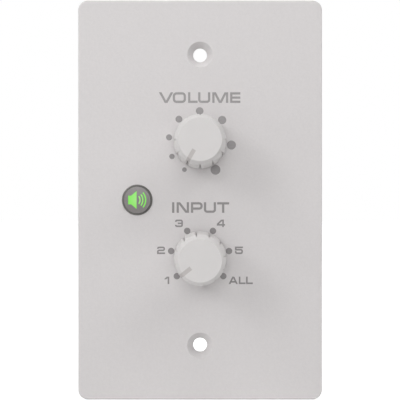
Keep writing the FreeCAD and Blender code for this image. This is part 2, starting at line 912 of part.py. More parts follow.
def build_knob(prefix, z, turn):
    """Fluted push-on knob, hollow underneath, with a flatted hub and an inlaid pointer."""
    body = knob_form(prefix, [
        ("knob_rear", "knob_recess_radius"),
        ("knob_hub_rear", "knob_recess_radius"),
        ("knob_hub_rear", "knob_hollow_radius"),
        ("knob_bore_end", "knob_hollow_radius"),
        ("knob_bore_end", "knob_hub_radius"),
        ("knob_hub_rear", "knob_hub_radius"),
        ("knob_hub_rear", "knob_bore_radius"),
        ("knob_bore_end", "knob_bore_radius"),
        ("knob_bore_end", "0"),
    ])
    flat = front_sketch(body, "knob_bore_end")
    key = "(knob_hub_radius + knob_bore_radius) / 2 - knob_flat"
    draw_polygon(flat, rectangle("2 * knob_bore_radius", key, up=f"knob_flat + ({key}) / 2"))
    pad(body, flat, "knob_hub_rear - knob_bore_end")
    groove = side_sketch(body)
    draw_polygon(groove, pointer_outline())
    slot = body.newObject("PartDesign::Pocket", prefix + "_pointer_groove")
    slot.Profile = groove
    slot.Midplane = True
    bind(slot, {"Length": "pointer_width"})
    node(place(body, z=z, turn=turn))
    build_pointer(prefix, z, turn)
    build_knob_spring(prefix, z, turn)


def build_pointer(prefix, z, turn):
    """Inlay in the knob's groove, flush with the face, the bevel and the skirt."""
    bar = new_body(prefix + "_pointer_bar")
    outline = side_sketch(bar)
    draw_polygon(outline, pointer_outline())
    pad_across(bar, outline, "pointer_width")
    blank = knob_form(prefix + "_blank", [("knob_rear", "0")])
    pointer = document.addObject("Part::MultiCommon", prefix + "_pointer")
    pointer.Shapes = [blank, bar]
    node(place(pointer, z=z, turn=turn))


def build_knob_spring(prefix, z, turn):
    """Flat spring between the shaft's flat and the knob's hub."""
    item = prism(
        prefix + "_spring",
        rectangle("knob_spring_width", "knob_spring_thickness", up="shaft_flat + knob_spring_thickness / 2"),
        "knob_hub_rear - knob_spring_length", "knob_spring_length")
    node(place(item, z=z, turn=turn))


# Volume potentiometer

def volume_pins():
    return [(f"{number} * pin_pitch", "-pin_circle") for number in (-1, 0, 1)]


def build_volume_control():
    z, turn = "dial_offset", f"-({start_angle('volume_range_angle')})"
    build_bushing("volume_pot_bushing", "volume_pot_width", "volume_range_angle", z)
    build_fasteners("volume_pot", z)
    build_case("volume_pot", "volume_pot_width", volume_pins(), z)
    build_wafer("volume_pot", z)
    track = ring("volume_track", "track_inner_radius", "track_outer_radius",
                 "film_front", "wafer_front", "track_angle")
    group("volume_pot_track", [place(track, z=z), place(collector("volume_collector"), z=z)])
    build_terminals("volume_pot", volume_pins(), z)
    build_shaft("volume_pot", z, turn)
    build_rotor("volume_pot", z, turn)
    build_knob("volume_knob", z, turn)


def collector(label):
    """Closed contact ring round the pivot."""
    return ring(label, "collector_inner_radius", "collector_outer_radius", "film_front", "wafer_front")


# Input selector switch

def position_turn(number):
    """Clockwise turn from straight up to a position of the selector."""
    return f"{number} * input_step - ({start_angle('input_range')})"


def input_pins():
    """One pin behind each position's contact, and the common one at the bottom."""
    pins = [
        (f"pin_circle * sin({position_turn(number)})", f"pin_circle * cos({position_turn(number)})")
        for number in range(SIZES["input_positions"])
    ]
    return pins + [("0", "-pin_circle")]


def build_input_control():
    z, turn = "-dial_offset", f"-({start_angle('input_range')})"
    build_bushing("input_switch_bushing", "input_switch_width", "input_range", z)
    build_fasteners("input_switch", z)
    build_case("input_switch", "input_switch_width", input_pins(), z, leaf_pocket=True)
    build_wafer("input_switch", z)
    contacts = [place(collector("input_common"), z=z)]
    for number in range(SIZES["input_positions"]):
        contact = ring(f"input_contact_{number + 1}", "track_inner_radius", "track_outer_radius",
                       "film_front", "wafer_front", "contact_angle")
        contacts.append(place(contact, z=z, turn=position_turn(number)))
    group("input_switch_contacts", contacts)
    build_terminals("input_switch", input_pins(), z)
    build_shaft("input_switch", z, turn)
    build_rotor("input_switch", z, turn, notches="round(360 / input_step)")
    build_detent_spring(z)
    build_knob("input_knob", z, turn)


def build_detent_spring(z):
    """Leaf spring whose nose rests in the rotor's notches, under the rotor."""
    tip = "detent_root + close_clearance"
    base = f"{tip} + detent_leaf_rise"
    back = f"{base} + detent_leaf_thickness"
    nose, end = "detent_width / 2", "detent_leaf_span / 2"
    leaf = prism("input_switch_detent_spring", [
        (f"-{end}", f"-({back})"),
        (f"-{nose}", f"-({back})"),
        ("0", f"-({tip} + detent_leaf_thickness)"),
        (nose, f"-({back})"),
        (end, f"-({back})"),
        (end, f"-({base})"),
        (f"{nose} + detent_leaf_thickness", f"-({base})"),
        ("detent_leaf_thickness / 2", f"-({tip})"),
        ("-detent_leaf_thickness / 2", f"-({tip})"),
        (f"-({nose} + detent_leaf_thickness)", f"-({base})"),
        (f"-{end}", f"-({base})"),
    ], "(rotor_front + rotor_rear - detent_leaf_width) / 2", "detent_leaf_width")
    node(place(leaf, z=z))


# Push button

def build_bezel():
    """Bevelled ring round the button, with a barrel through the plate, and its rear clip."""
    body = turned("button_bezel", [
        ("bezel_front", "bezel_inner_radius"),
        ("bezel_barrel_reach", "bezel_inner_radius"),
        ("bezel_barrel_reach", "barrel_radius"),
        ("plate_front", "barrel_radius"),
        ("plate_front", "bezel_outer_radius"),
        ("plate_front - bezel_foot", "bezel_outer_radius"),
        ("bezel_front", "bezel_inner_radius + bezel_lip"),
    ])
    node(place(body, x="-button_offset"))
    clip = ring("button_bezel_clip", "barrel_radius", "barrel_radius + bezel_clip_width",
                "0", "bezel_clip_thickness")
    node(place(clip, x="-button_offset"))


def speaker_outline():
    """Magnet and cone of a loudspeaker seen from the side."""
    magnet, cone = "icon_magnet_height / 2", "icon_cone_height / 2"
    return [
        ("-icon_magnet_start", f"-{magnet}"),
        ("-icon_magnet_end", f"-{magnet}"),
        ("-icon_cone_front", f"-{cone}"),
        ("-icon_cone_front", cone),
        ("-icon_magnet_end", magnet),
        ("-icon_magnet_start", magnet),
    ]


def wave_arcs(label):
    """The three sound waves beside the loudspeaker, as stretches of rings."""
    arcs = []
    for number in range(SIZES["icon_arc_count"]):
        inner = f"icon_arc_inner + {number} * icon_arc_pitch"
        arc = ring(f"{label}_{number + 1}", inner, f"{inner} + icon_stroke",
                   "cap_crown", "cap_inside", "icon_arc_angle")
        arcs.append(place(arc, x="-button_offset - icon_arc_centre", turn="90"))
    return arcs


def build_cap():
    """Domed cap, a cup whose front wall is open where the sign shines through."""
    body = turned("cap_shell", [
        ("cap_crown", "0"),
        ("cap_crown", "cap_radius - cap_edge"),
        ("cap_front", "cap_radius - cap_edge"),
        ("cap_front + cap_edge", "cap_radius"),
        ("cap_skirt_reach", "cap_radius"),
        ("cap_skirt_reach", "cap_socket_radius"),
        ("cap_inside", "cap_socket_radius"),
        ("cap_inside", "0"),
    ])
    opening = front_sketch(body, "cap_crown")
    draw_polygon(opening, speaker_outline())
    pocket(body, opening, "cap_inside - cap_crown")
    waves = document.addObject("Part::Compound", "wave_openings")
    waves.Links = wave_arcs("wave_opening")
    pierced = document.addObject("Part::Cut", "pierced_cap")
    pierced.Base = place(body, x="-button_offset")
    pierced.Tool = waves
    node(domed("button_cap", pierced))
    speaker = prism("speaker_sign", speaker_outline(), "cap_crown", "cap_inside - cap_crown")
    sign = document.addObject("Part::Compound", "sign")
    sign.Links = [place(speaker, x="-button_offset")] + wave_arcs("wave_sign")
    node(domed("button_icon_lens", sign))


def domed(label, item):
    """What of a piece lies inside the sphere that gives the cap its crown."""
    rim = "cap_radius - cap_edge"
    sphere = document.addObject("Part::Sphere", label + "_dome")
    radius = f"(({rim}) * ({rim}) + cap_dome * cap_dome) / (2 * cap_dome)"
    bind(sphere, {"Radius": radius})
    place(sphere, x="-button_offset", y=f"cap_crown + {radius}")
    crowned = document.addObject("Part::MultiCommon", label)
    crowned.Shapes = [item, sphere]
    return crowned


def build_plunger():
    """Clear diffuser and plunger that carry the cap and lead the light to it."""
    diffuser = turned("button_diffuser", [
        ("cap_inside", "0"),
        ("cap_inside", "cap_socket_radius"),
        ("cap_skirt_reach", "cap_socket_radius"),
        ("cap_skirt_reach", "plunger_radius"),
        ("diffuser_rear", "plunger_radius"),
        ("diffuser_rear", "0"),
    ])
    node(place(diffuser, x="-button_offset"))
    bore_end = "led_tip - button_travel - free_clearance"
    plunger = turned("button_plunger", [
        ("diffuser_rear", "0"),
        ("diffuser_rear", "plunger_radius"),
        ("plunger_flange_front", "plunger_radius"),
        ("plunger_flange_front", "plunger_flange_radius"),
        ("plunger_flange_rear", "plunger_flange_radius"),
        ("plunger_flange_rear", "plunger_radius"),
        ("plunger_end", "plunger_radius"),
        ("plunger_end", "plunger_bore_radius"),
        (bore_end, "plunger_bore_radius"),
        (bore_end, "0"),
    ])
    node(place(plunger, x="-button_offset"))
    bridge = ring("push_switch_bridge", "plunger_radius", "plunger_flange_radius",
                  "plunger_flange_rear", "bridge_rear")
    node(place(bridge, x="-button_offset"))


def push_pins():
    """Terminals left and right of the button's axis."""
    middle = "(fixed_contact_inner + fixed_contact_outer) / 2"
    return [(f"-{middle}", "0"), (middle, "0")]


def led_leads():
    return [("0", "-led_lead_pitch / 2"), ("0", "led_lead_pitch / 2")]


def build_push_switch():
    """Housing on the board, its two fixed contacts and its return spring."""
    housing = prism("push_switch_housing", rectangle("housing_width", "housing_width"),
                    "housing_front", "housing_height")
    cut_holes(housing, [("0", "0")], "plunger_radius + free_clearance", "housing_front", "housing_roof")
    cut_holes(housing, [("0", "0")], "housing_cavity_radius", "housing_inside",
              "housing_seat - housing_inside")
    cut_holes(housing, [("0", "0")], "led_flange_radius + close_clearance", "housing_seat", "housing_floor")
    for x, z in push_pins():
        hole = front_sketch(housing, "housing_seat")
        draw_polygon(hole, rectangle("push_pin_thickness", "push_pin_thickness", x, z))
        pocket(housing, hole, "housing_floor")
    node(place(housing, x="-button_offset"))
    terminals = []
    for number, (x, z) in enumerate(shifted(push_pins(), "-button_offset", "0"), start=1):
        pad_item = block(f"push_contact_{number}", x, z, "fixed_contact_outer - fixed_contact_inner",
                         "fixed_contact_width", "fixed_contact_front", "fixed_contact_thickness")
        pin = block(f"push_pin_{number}", x, z, "push_pin_thickness", "push_pin_thickness",
                    "fixed_contact_front", "pin_end - fixed_contact_front")
        terminals.append(joined(f"push_terminal_{number}", [pad_item, pin]))
    group("push_switch_terminals", terminals)
    build_push_spring()


def build_push_spring():
    """Coil spring round the lamp, between the housing's floor and the plunger."""
    body = new_body("push_switch_spring")
    sketch = side_sketch(body)
    draw_circle(sketch, "plunger_end + spring_wire_radius", "spring_radius", "spring_wire_radius")
    coil = body.newObject("PartDesign::AdditiveHelix", "push_switch_coil")
    coil.Profile = sketch
    coil.ReferenceAxis = (sketch, ["H_Axis"])
    coil.Mode = "height-turns-angle"
    bind(coil, {
        "Height": "housing_seat - plunger_end - 2 * spring_wire_radius",
        "Turns": "spring_turns",
    })
    node(place(body, x="-button_offset"))


def build_lamp():
    """Round LED under the plunger, and its two leads."""
    seat = "board_front - led_flange_thickness"
    body = turned("button_led", [
        ("led_tip", "0"),
        ("led_tip", "led_radius"),
        (seat, "led_radius"),
        (seat, "led_flange_radius"),
        ("board_front", "led_flange_radius"),
        ("board_front", "0"),
    ])
    dress_edges(body, "Fillet", foremost(body), "led_dome_round")
    node(place(body, x="-button_offset"))
    members = []
    for number, (x, z) in enumerate(shifted(led_leads(), "-button_offset", "0"), start=1):
        members.append(block(f"led_lead_{number}", x, z, "led_lead_width", "led_lead_width",
                             "board_front", "pin_end - board_front"))
    group("button_led_leads", members)


# Network socket

def jack_pegs():
    return [(f"{side} jack_peg_offset_x", "jack_peg_offset_z") for side in "+-"]


def wire_pins():
    """Pins of the socket's wires, in two staggered rows."""
    count = SIZES["wire_count"]
    return [
        (f"{number - (count - 1) / 2} * wire_pitch", wire_row(number))
        for number in range(count)
    ]


def wire_row(number):
    return "wire_plane" if number % 2 == 0 else "wire_plane - wire_row_gap"


def mouth_outline():
    """Opening for the plug, with the steps for its latch above."""
    side, latch, key = "jack_mouth_width / 2", "jack_latch_width / 2", "jack_key_width / 2"
    high = "jack_mouth_height / 2"
    latch_top = f"{high} + jack_latch_height"
    key_top = f"{latch_top} + jack_key_height"
    return [
        (f"-{side}", "mouth_low"), (side, "mouth_low"), (side, high), (latch, high),
        (latch, latch_top), (key, latch_top), (key, key_top), (f"-{key}", key_top),
        (f"-{key}", latch_top), (f"-{latch}", latch_top), (f"-{latch}", high), (f"-{side}", high),
    ]


def build_jack():
    """Socket that looks straight back, with its sheet-metal shield and eight wires."""
    body = prism("network_jack_housing", rectangle("jack_width", "jack_height"), "board_rear", "jack_depth")
    mouth = front_sketch(body, "jack_floor")
    draw_polygon(mouth, mouth_outline())
    pocket(body, mouth, "jack_end - jack_floor")
    underside = front_sketch(body, "board_rear")
    width = "(wire_count + 1) * wire_pitch"
    low = "wire_plane - wire_row_gap - wire_thickness / 2 - wire_room"
    high = "wire_plane + wire_thickness / 2 + wire_room"
    draw_polygon(underside, rectangle(width, f"{high} - ({low})", up=f"({high} + {low}) / 2"))
    pocket(body, underside, "jack_underside_depth")
    slot = front_sketch(body, "board_rear")
    draw_polygon(slot, rectangle(width, "wire_thickness", up="wire_plane"))
    pocket(body, slot, "jack_floor_depth")
    pegs = front_sketch(body, "board_front - jack_peg_reach")
    for x, z in jack_pegs():
        draw_circle(pegs, x, z, "jack_peg_radius")
    pad(body, pegs, "board_thickness + jack_peg_reach")
    node(place(body, x="jack_x", z="jack_z"))

    outer_width = "jack_width + 2 * shield_thickness"
    outer_height = "jack_height + 2 * shield_thickness"
    shield = prism("network_jack_shield", rectangle(outer_width, outer_height),
                   "board_rear", "jack_depth + shield_thickness")
    inside = front_sketch(shield, "board_rear")
    draw_polygon(inside, rectangle("jack_width", "jack_height"))
    pocket(shield, inside, "jack_depth")
    window = front_sketch(shield, "jack_end")
    draw_polygon(window, mouth_outline())
    pocket(shield, window, "shield_thickness")
    node(place(shield, x="jack_x", z="jack_z"))
    build_wires()


def build_wires():
    """Spring wires that rise from their pins into the mouth of the socket."""
    half = "wire_thickness / 2"
    pin_start = "board_front - wire_reach"
    bend = "jack_floor + wire_thickness"
    tip = f"{bend} + wire_length"
    high, low = f"wire_plane + {half}", f"wire_plane - {half}"
    rise = [
        (bend, low),
        (tip, f"{low} + wire_rise"),
        (tip, f"{high} + wire_rise"),
        (bend, high),
    ]
    jog = "board_rear + wire_thickness"
    straight = [(pin_start, low)] + rise + [(pin_start, high)]
    stepped = [
        (pin_start, f"{low} - wire_row_gap"),
        (f"{jog} + wire_thickness", f"{low} - wire_row_gap"),
        (f"{jog} + wire_thickness", low),
    ] + rise + [
        (jog, high),
        (jog, f"{high} - wire_row_gap"),
        (pin_start, f"{high} - wire_row_gap"),
    ]
    members = []
    for number, (x, z) in enumerate(wire_pins()):
        body = new_body(f"jack_wire_{number + 1}")
        sketch = side_sketch(body)
        draw_polygon(sketch, straight if number % 2 == 0 else stepped)
        pad_across(body, sketch, "wire_width")
        members.append(place(body, x=f"jack_x + {x}", z="jack_z"))
    group("network_jack_contacts", members)


# Surface-mounted parts

def lead_row(prefix, x, z, count, pitch, reach, width, side):
    """A row of flat leads beside a chip: side is left, right, below or above."""
    members = []
    for number in range(count):
        along = f"{number - (count - 1) / 2} * {pitch}"
        across = f"({reach[0]}) / 2 + ({reach[1]}) / 2"
        places = {
            "left": (f"{x} - ({across})", f"{z} + {along}", reach[1], width),
            "right": (f"{x} + {across}", f"{z} + {along}", reach[1], width),
            "below": (f"{x} + {along}", f"{z} - ({across})", width, reach[1]),
            "above": (f"{x} + {along}", f"{z} + {across}", width, reach[1]),
        }
        lead_x, lead_z, wide, tall = places[side]
        members.append(block(f"{prefix}_{side}_{number + 1}", lead_x, lead_z, wide, tall,
                             "board_rear", "lead_thickness"))
    return members


def chip(label, x, z, width, height, thickness):
    """Moulded package, a little above the board, with bevelled upper edges."""
    body = prism(label, rectangle(width, height), "board_rear + package_standoff", thickness)
    dress_edges(body, "Chamfer", rearmost(body), "package_bevel")
    return node(place(body, x=x, z=z))


def build_processor():
    chip("microcontroller", "processor_x", "processor_z",
         "processor_width", "processor_width", "processor_thickness")
    leads = []
    for side in ("left", "right", "below", "above"):
        leads += lead_row("processor_lead", "processor_x", "processor_z",
                          SIZES["processor_leads_per_side"], "processor_lead_pitch",
                          ("processor_width", "processor_lead_length"), "lead_width", side)
    group("microcontroller_leads", leads)


def build_driver():
    chip("line_driver", "driver_x", "driver_z", "driver_width", "driver_height", "driver_thickness")
    leads = []
    for side in ("below", "above"):
        leads += lead_row("driver_lead", "driver_x", "driver_z",
                          SIZES["driver_leads_per_side"], "driver_lead_pitch",
                          ("driver_height", "driver_lead_length"), "lead_width", side)
    group("line_driver_leads", leads)


def build_regulator():
    chip("voltage_regulator", "regulator_x", "regulator_z",
         "regulator_width", "regulator_height", "regulator_thickness")
    reach = ("regulator_height", "regulator_lead_length")
    leads = lead_row("regulator_lead", "regulator_x", "regulator_z",
                     SIZES["regulator_lead_count"], "regulator_lead_pitch", reach,
                     "regulator_lead_width", "below")
    leads += lead_row("regulator_tab", "regulator_x", "regulator_z", 1,
                      "regulator_lead_pitch", reach, "regulator_tab_width", "above")
    group("voltage_regulator_leads", leads)


def build_capacitors():
    """Two electrolytic cans on square bases, one each side of the board's middle."""
    base_top = "board_rear + capacitor_base_thickness"
    top = "board_rear + capacitor_height"
    members = []
    for number, side in enumerate("+-", start=1):
        can = turned(f"capacitor_can_{number}", [
            (base_top, "0"),
            (base_top, "capacitor_radius"),
            (f"{base_top} + capacitor_groove_depth", "capacitor_radius"),
            (f"{base_top} + capacitor_groove_depth * 2", "capacitor_radius - capacitor_groove_depth"),
            (f"{base_top} + capacitor_groove_depth * 3", "capacitor_radius"),
            (f"{top} - capacitor_groove_depth", "capacitor_radius"),
            (top, "capacitor_radius - capacitor_groove_depth"),
            (top, "0"),
        ])
        place(can, x=f"{side} capacitor_x", z="capacitor_z")
        base = block(f"capacitor_base_{number}", f"{side} capacitor_x", "capacitor_z",
                     "capacitor_base_width", "capacitor_base_width",
                     "board_rear", "capacitor_base_thickness")
        members.append(joined(f"capacitor_{number}", [can, base]))
    group("filter_capacitors", members)


def chip_array(label, x, z, columns, rows):
    """Rows of upright two-ended chips."""
    members = []
    for row in range(rows):
        for column in range(columns):
            members.append(block(
                f"{label}_{row + 1}_{column + 1}",
                f"{x} + {column} * chip_pitch", f"{z} + {row} * chip_row_pitch",
                "chip_width", "chip_length", "board_rear", "chip_thickness"))
    group(label, members)


def build_crystal():
    """Metal crystal can with rounded ends on a thin base."""
    body = prism("crystal", rectangle("crystal_length", "crystal_width"),
                 "board_rear", "crystal_base_thickness")
    lid = front_sketch(body, "board_rear")
    draw_polygon(lid, rectangle("crystal_length - 2 * crystal_base_rim",
                                "crystal_width - 2 * crystal_base_rim"))
    pad(body, lid, "crystal_height")
    reach = SIZES["crystal_length"] / 2 - SIZES["crystal_base_rim"]

    def lid_corner(edge):
        return runs_along_y(edge) and abs(abs(edge.CenterOfMass.x) - reach) < 1e-3

    dress_edges(body, "Fillet", lid_corner, "crystal_lid_round")
    node(place(body, x="crystal_x", z="crystal_z"))


# The whole controller

def build_all():
    build_faceplate()
    build_standoffs()
    build_circuit_board()
    build_board_screws()
    build_volume_control()
    build_input_control()
    build_bezel()
    build_cap()
    build_plunger()
    build_push_switch()
    build_lamp()
    build_jack()
    build_processor()
    build_driver()
    build_regulator()
    build_capacitors()
    chip_array("chip_resistors", "resistor_x", "resistor_z",
               SIZES["resistor_columns"], SIZES["resistor_rows"])
    chip_array("chip_capacitors", "chip_capacitor_x", "chip_capacitor_z",
               SIZES["chip_capacitor_columns"], SIZES["chip_capacitor_rows"])
    build_crystal()


def check_document():
    """Stop if any object failed or any piece has no sound shape."""
    faults = [
        item.Name for item in document.Objects
        if "Invalid" in item.State or "Error" in item.State
    ]
    faults += [item.Label for item in nodes if item.Shape.isNull() or not item.Shape.isValid()]
    if faults:
        raise RuntimeError("these objects failed: " + ", ".join(sorted(set(faults))))


def export_pieces():
    os.makedirs("parts", exist_ok=True)
    for item in nodes:
        item.Shape.exportStep(f"parts/{item.Label}.step")


fill_sheet()
build_all()
document.recompute()
check_document()
export_pieces()
for piece in nodes:
    print(f"{piece.Label}: {len(piece.Shape.Solids)} solids, {piece.Shape.Volume:.2f} mm3")
print(len(nodes), "pieces")
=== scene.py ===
"""Looks of the audio zone controller: its finishes, the printing on the plate, and the
solder, tracks and small parts of its circuit board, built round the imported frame.

Metres, +Z up. The front of the plate faces -Y and the circuit board stands behind it.
"""
import json
import math

import bmesh
import bpy
from mathutils import Matrix, Vector


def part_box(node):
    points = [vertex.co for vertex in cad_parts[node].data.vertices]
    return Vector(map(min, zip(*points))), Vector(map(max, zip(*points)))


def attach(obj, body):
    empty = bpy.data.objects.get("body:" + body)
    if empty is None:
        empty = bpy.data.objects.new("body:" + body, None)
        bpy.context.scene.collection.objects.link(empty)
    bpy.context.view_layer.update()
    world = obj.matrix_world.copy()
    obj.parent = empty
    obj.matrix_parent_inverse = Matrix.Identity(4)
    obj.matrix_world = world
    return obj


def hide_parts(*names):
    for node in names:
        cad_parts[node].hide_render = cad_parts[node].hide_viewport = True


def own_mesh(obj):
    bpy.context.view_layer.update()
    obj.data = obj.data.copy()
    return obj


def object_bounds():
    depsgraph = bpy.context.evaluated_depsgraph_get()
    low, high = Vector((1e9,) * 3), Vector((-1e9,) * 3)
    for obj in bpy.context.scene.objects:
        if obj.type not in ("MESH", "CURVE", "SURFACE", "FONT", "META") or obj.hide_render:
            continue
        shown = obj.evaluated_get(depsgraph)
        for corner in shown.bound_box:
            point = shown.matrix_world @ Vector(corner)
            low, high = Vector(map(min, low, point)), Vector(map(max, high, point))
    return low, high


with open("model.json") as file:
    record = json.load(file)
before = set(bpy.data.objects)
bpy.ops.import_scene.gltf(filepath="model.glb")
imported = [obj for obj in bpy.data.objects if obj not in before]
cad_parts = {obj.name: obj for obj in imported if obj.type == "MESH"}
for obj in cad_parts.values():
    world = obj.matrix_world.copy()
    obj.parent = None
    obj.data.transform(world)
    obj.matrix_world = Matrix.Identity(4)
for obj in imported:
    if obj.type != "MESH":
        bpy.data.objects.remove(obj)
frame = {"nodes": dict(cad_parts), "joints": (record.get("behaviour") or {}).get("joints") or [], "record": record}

CAD_BOX = [list(corner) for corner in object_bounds()]
MM = 0.001
NODES = frame["nodes"]
JOINTS = {joint["name"]: joint for joint in frame["joints"]}
BASE = "plate_and_board"

PLATE_LOW, PLATE_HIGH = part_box("faceplate")
BOARD_LOW, BOARD_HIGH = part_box("circuit_board")
PLATE_FRONT = PLATE_LOW.y
BOARD_FRONT, BOARD_REAR = BOARD_LOW.y, BOARD_HIGH.y
BEZEL_BORE = 4.0 * MM
SIGN_RADIUS = 2.7 * MM
VOLUME_AXIS = Vector(JOINTS["volume_turn"]["pos_m"])
INPUT_AXIS = Vector(JOINTS["input_turn"]["pos_m"])

# Camera, as the photograph was taken: level, straight at the middle of the plate
PHOTO_WIDTH_PX = 400
PLATE_LEFT_PX = 78.1
PLATE_RIGHT_PX = 322.05
CAMERA_DISTANCE = 302 * MM
SENSOR_WIDTH = 36.0

# Studio: soft light, stronger from the sides than from the front, and lamps with their turn from
# the right in degrees, tilt from straight ahead in degrees, size, and the brightness they give a
# white plate; the power gives a brightness of 1 from one metre
AMBIENT_SIDE = 0.42
AMBIENT_FRONT = 0.0
LAMP_DISTANCE = 1.2
LAMPS = {
    "front_light": (100, 17, 0.55, 0.36),
    "key_light": (150, 52, 0.36, 0.21),
    "top_right_light": (50, 68, 0.6, 0.205),
    "top_light": (90, 68, 0.6, 0.16),
    "top_left_light": (135, 70, 0.6, 0.15),
    "left_light": (180, 70, 0.6, 0.085),
}
LAMP_POWER = math.pi ** 2 / 2
FLOOR_REACH = 2.5
FLOOR_GAP = 0.2 * MM
FLOOR_BOUNCE = (0.80, 0.80, 0.80)
FLOOR_SEEN = (0.60, 0.60, 0.60)
FLOOR_GLOW = 0.80

# Meshes: edges sharper than the angle stay sharp, and a path steeper than the share ends level
SMOOTH_ANGLE = math.radians(40)
STEEP = 0.3
CORNER_STEPS = 6
DOT_SIDES = 48
PIN_SIDES = 28

# Printing on the plate
INK_THICKNESS = 0.02 * MM
SUNK = 0.01 * MM
WORD_HEIGHT = 3.04 * MM
WORD_STROKE = 0.65 * MM
FIGURE_HEIGHT = 2.14 * MM
FIGURE_STROKE = 0.46 * MM
VOLUME_DOT_RING = 9.0 * MM
VOLUME_DOT_START = 240.2
VOLUME_DOT_GAPS = (33.6, 35.8, 38.5, 41.6, 45.3, 50.2, 55.8)
VOLUME_DOT_RADIUS = 0.66 * MM
VOLUME_DOT_GROWTH = 0.107 * MM
INPUT_DOT_RING = 8.50 * MM
INPUT_DOT_RADIUS = 0.925 * MM
INPUT_DOT_START = 218.57
INPUT_DOT_STEP = 51.43
INPUT_POSITIONS = 6

# Words and figures: the left edge and the baseline, measured from their dial's axis
WORDS = (
    ("volume_word", "VOLUME", VOLUME_AXIS, -11.80 * MM, 11.30 * MM),
    ("input_word", "INPUT", INPUT_AXIS, -8.03 * MM, 12.83 * MM),
)
LOW_LABELS = -7.58 * MM
MIDDLE_LABELS = 1.02 * MM
HIGH_LABELS = 8.75 * MM
INPUT_LABELS = (
    ("1", -10.12 * MM, LOW_LABELS),
    ("2", -12.32 * MM, MIDDLE_LABELS),
    ("3", -7.20 * MM, HIGH_LABELS),
    ("4", 4.80 * MM, HIGH_LABELS),
    ("5", 9.98 * MM, MIDDLE_LABELS),
    ("ALL", 8.16 * MM, LOW_LABELS),
)

# Circuit board
WELD = 0.001 * MM
PIN_NODES = ("volume_pot_terminals", "input_switch_terminals", "push_switch_terminals",
             "button_led_leads", "network_jack_contacts")
PAD_RADIUS = 0.8 * MM
PAD_MARGIN = 0.4 * MM
PAD_THICKNESS = 0.035 * MM

# Solder: a pin's cone, its foot as a share of the pad, with the powers that hollow it; how far it
# stands out and up at a lead's foot, as shares of the pad's margin and the lead's thickness; and the
# ramp at a chip part's end, as a share of the part's height and a curve in shares
CONE_HEIGHT = 0.85 * MM
CONE_STEPS = 6
CONE_FOOT = 0.86
CONE_RISE_POWER = 1.7
CONE_WAIST_POWER = 0.6
FOOT_SOLDER_MARGIN = 0.4
FOOT_SOLDER_HEIGHT = 0.6
RAMP_HEIGHT = 0.7
RAMP_CURVE = ((0.0, 1.0), (0.18, 0.52), (0.45, 0.2), (1.0, 0.0))

# Bent leads: their width as a share of the plain strip's, where they bend as a share of their reach
# or at most of their drop, and how far they slant outward as a share of the drop
LEAD_THICKNESS = 0.15 * MM
LEAD_WIDTH = 0.86
LEAD_BEND_REACH = 0.3
LEAD_BEND_DROP = 0.9
LEAD_SLANT = 0.25
FOOT_LIFT = 0.03 * MM

# Small parts and marks
CHIP_CAP = 0.42 * MM
CHIP_PAD = 0.45 * MM
CAN_BASE = 0.9 * MM
CRYSTAL_BASE = 0.6 * MM
CAN_MARK_RADIUS = 2.75 * MM
CAN_MARK_ANGLE = math.radians(118)
CAN_MARK_STEPS = 24
CHIP_MARK_RADIUS = 0.32 * MM
CHIP_MARK_INSET = 0.9 * MM

# Tracks: their widths, how far inside the end of a lead or a part they start, and where two of
# them cut off a corner
TRACK_THICKNESS = 0.03 * MM
SIGNAL_WIDTH = 0.28 * MM
SUPPLY_WIDTH = 0.8 * MM
LEAD_INSET = 0.1 * MM
PART_INSET = 0.2 * MM
REGULATOR_INSET = 0.3 * MM
DRIVER_CUT = 4.1 * MM
SUPPLY_CUT = 1.5 * MM

# Where tracks end: from the crystal's upper right corner, the jack's lower edge, the middles of two
# resistors and of the filter capacitors, and a lead of the driver; and a lane from the board's edge
CRYSTAL_INSET = 0.25 * MM
CRYSTAL_REACHES = (1.0 * MM, 4.4 * MM)
JACK_LAP = 0.65 * MM
LAMP_RESISTOR_END = Vector((0, -0.6)) * MM
RESISTOR_HEAD = Vector((0.2, 1.2)) * MM
DRIVER_LAP = Vector((0, -0.24)) * MM
CAN_PIN = Vector((2.5, 0)) * MM
CAN_RIM = Vector((2.7, -2.5)) * MM
LAMP_LANE = 1.7 * MM

# Plated holes: the pin each one serves, how far inside the pin's end the track starts, and the way
# from there in millimetres; holes that stand alone, from the board's middle; those along the edges
HOLES = (
    ("chip_capacitors", 0, PART_INSET, (0, -2.1)),
    ("line_driver_leads", 2, LEAD_INSET, (0, -2.5)),
    ("line_driver_leads", 3, LEAD_INSET, (3.4, -4.7)),
    ("voltage_regulator_leads", 0, REGULATOR_INSET, (0, -2.5)),
    ("voltage_regulator_leads", 2, REGULATOR_INSET, (2.3, -3.5)),
)
SELECTOR_HOLE = Vector((2.01, 6.32)) * MM
SUPPLY_HOLE = Vector((0, -2.9)) * MM
LONE_HOLES = ((-1.0, -26.5), (2.0, -26.5), (0.0, 20.0), (-3.0, 20.0))
HOLE_RADIUS = 0.32 * MM
HOLE_RIM = 0.55
HOLE_PIT = 0.35
HOLE_SIDES = 20
HOLE_EDGE = 1.1 * MM
HOLE_PITCH = 4.4 * MM
HOLE_ROWS = (-5, -4, 4, 5)

# White print: the parts with a frame round each, its margin, and whether a dot marks its corner
PRINT_STROKE = 0.15 * MM
PRINT_THICKNESS = 0.015 * MM
PRINT_DOT_RADIUS = 0.3 * MM
PRINT_DOT_PLACE = Vector((-0.7, -0.4)) * MM
FRAMED_PARTS = (
    ("chip_resistors", 0.62 * MM, False),
    ("chip_capacitors", 0.62 * MM, False),
    ("filter_capacitors", 0.35 * MM, True),
    ("crystal", 0.4 * MM, False),
    ("microcontroller", 1.5 * MM, True),
    ("network_jack_shield", 0.35 * MM, False),
)

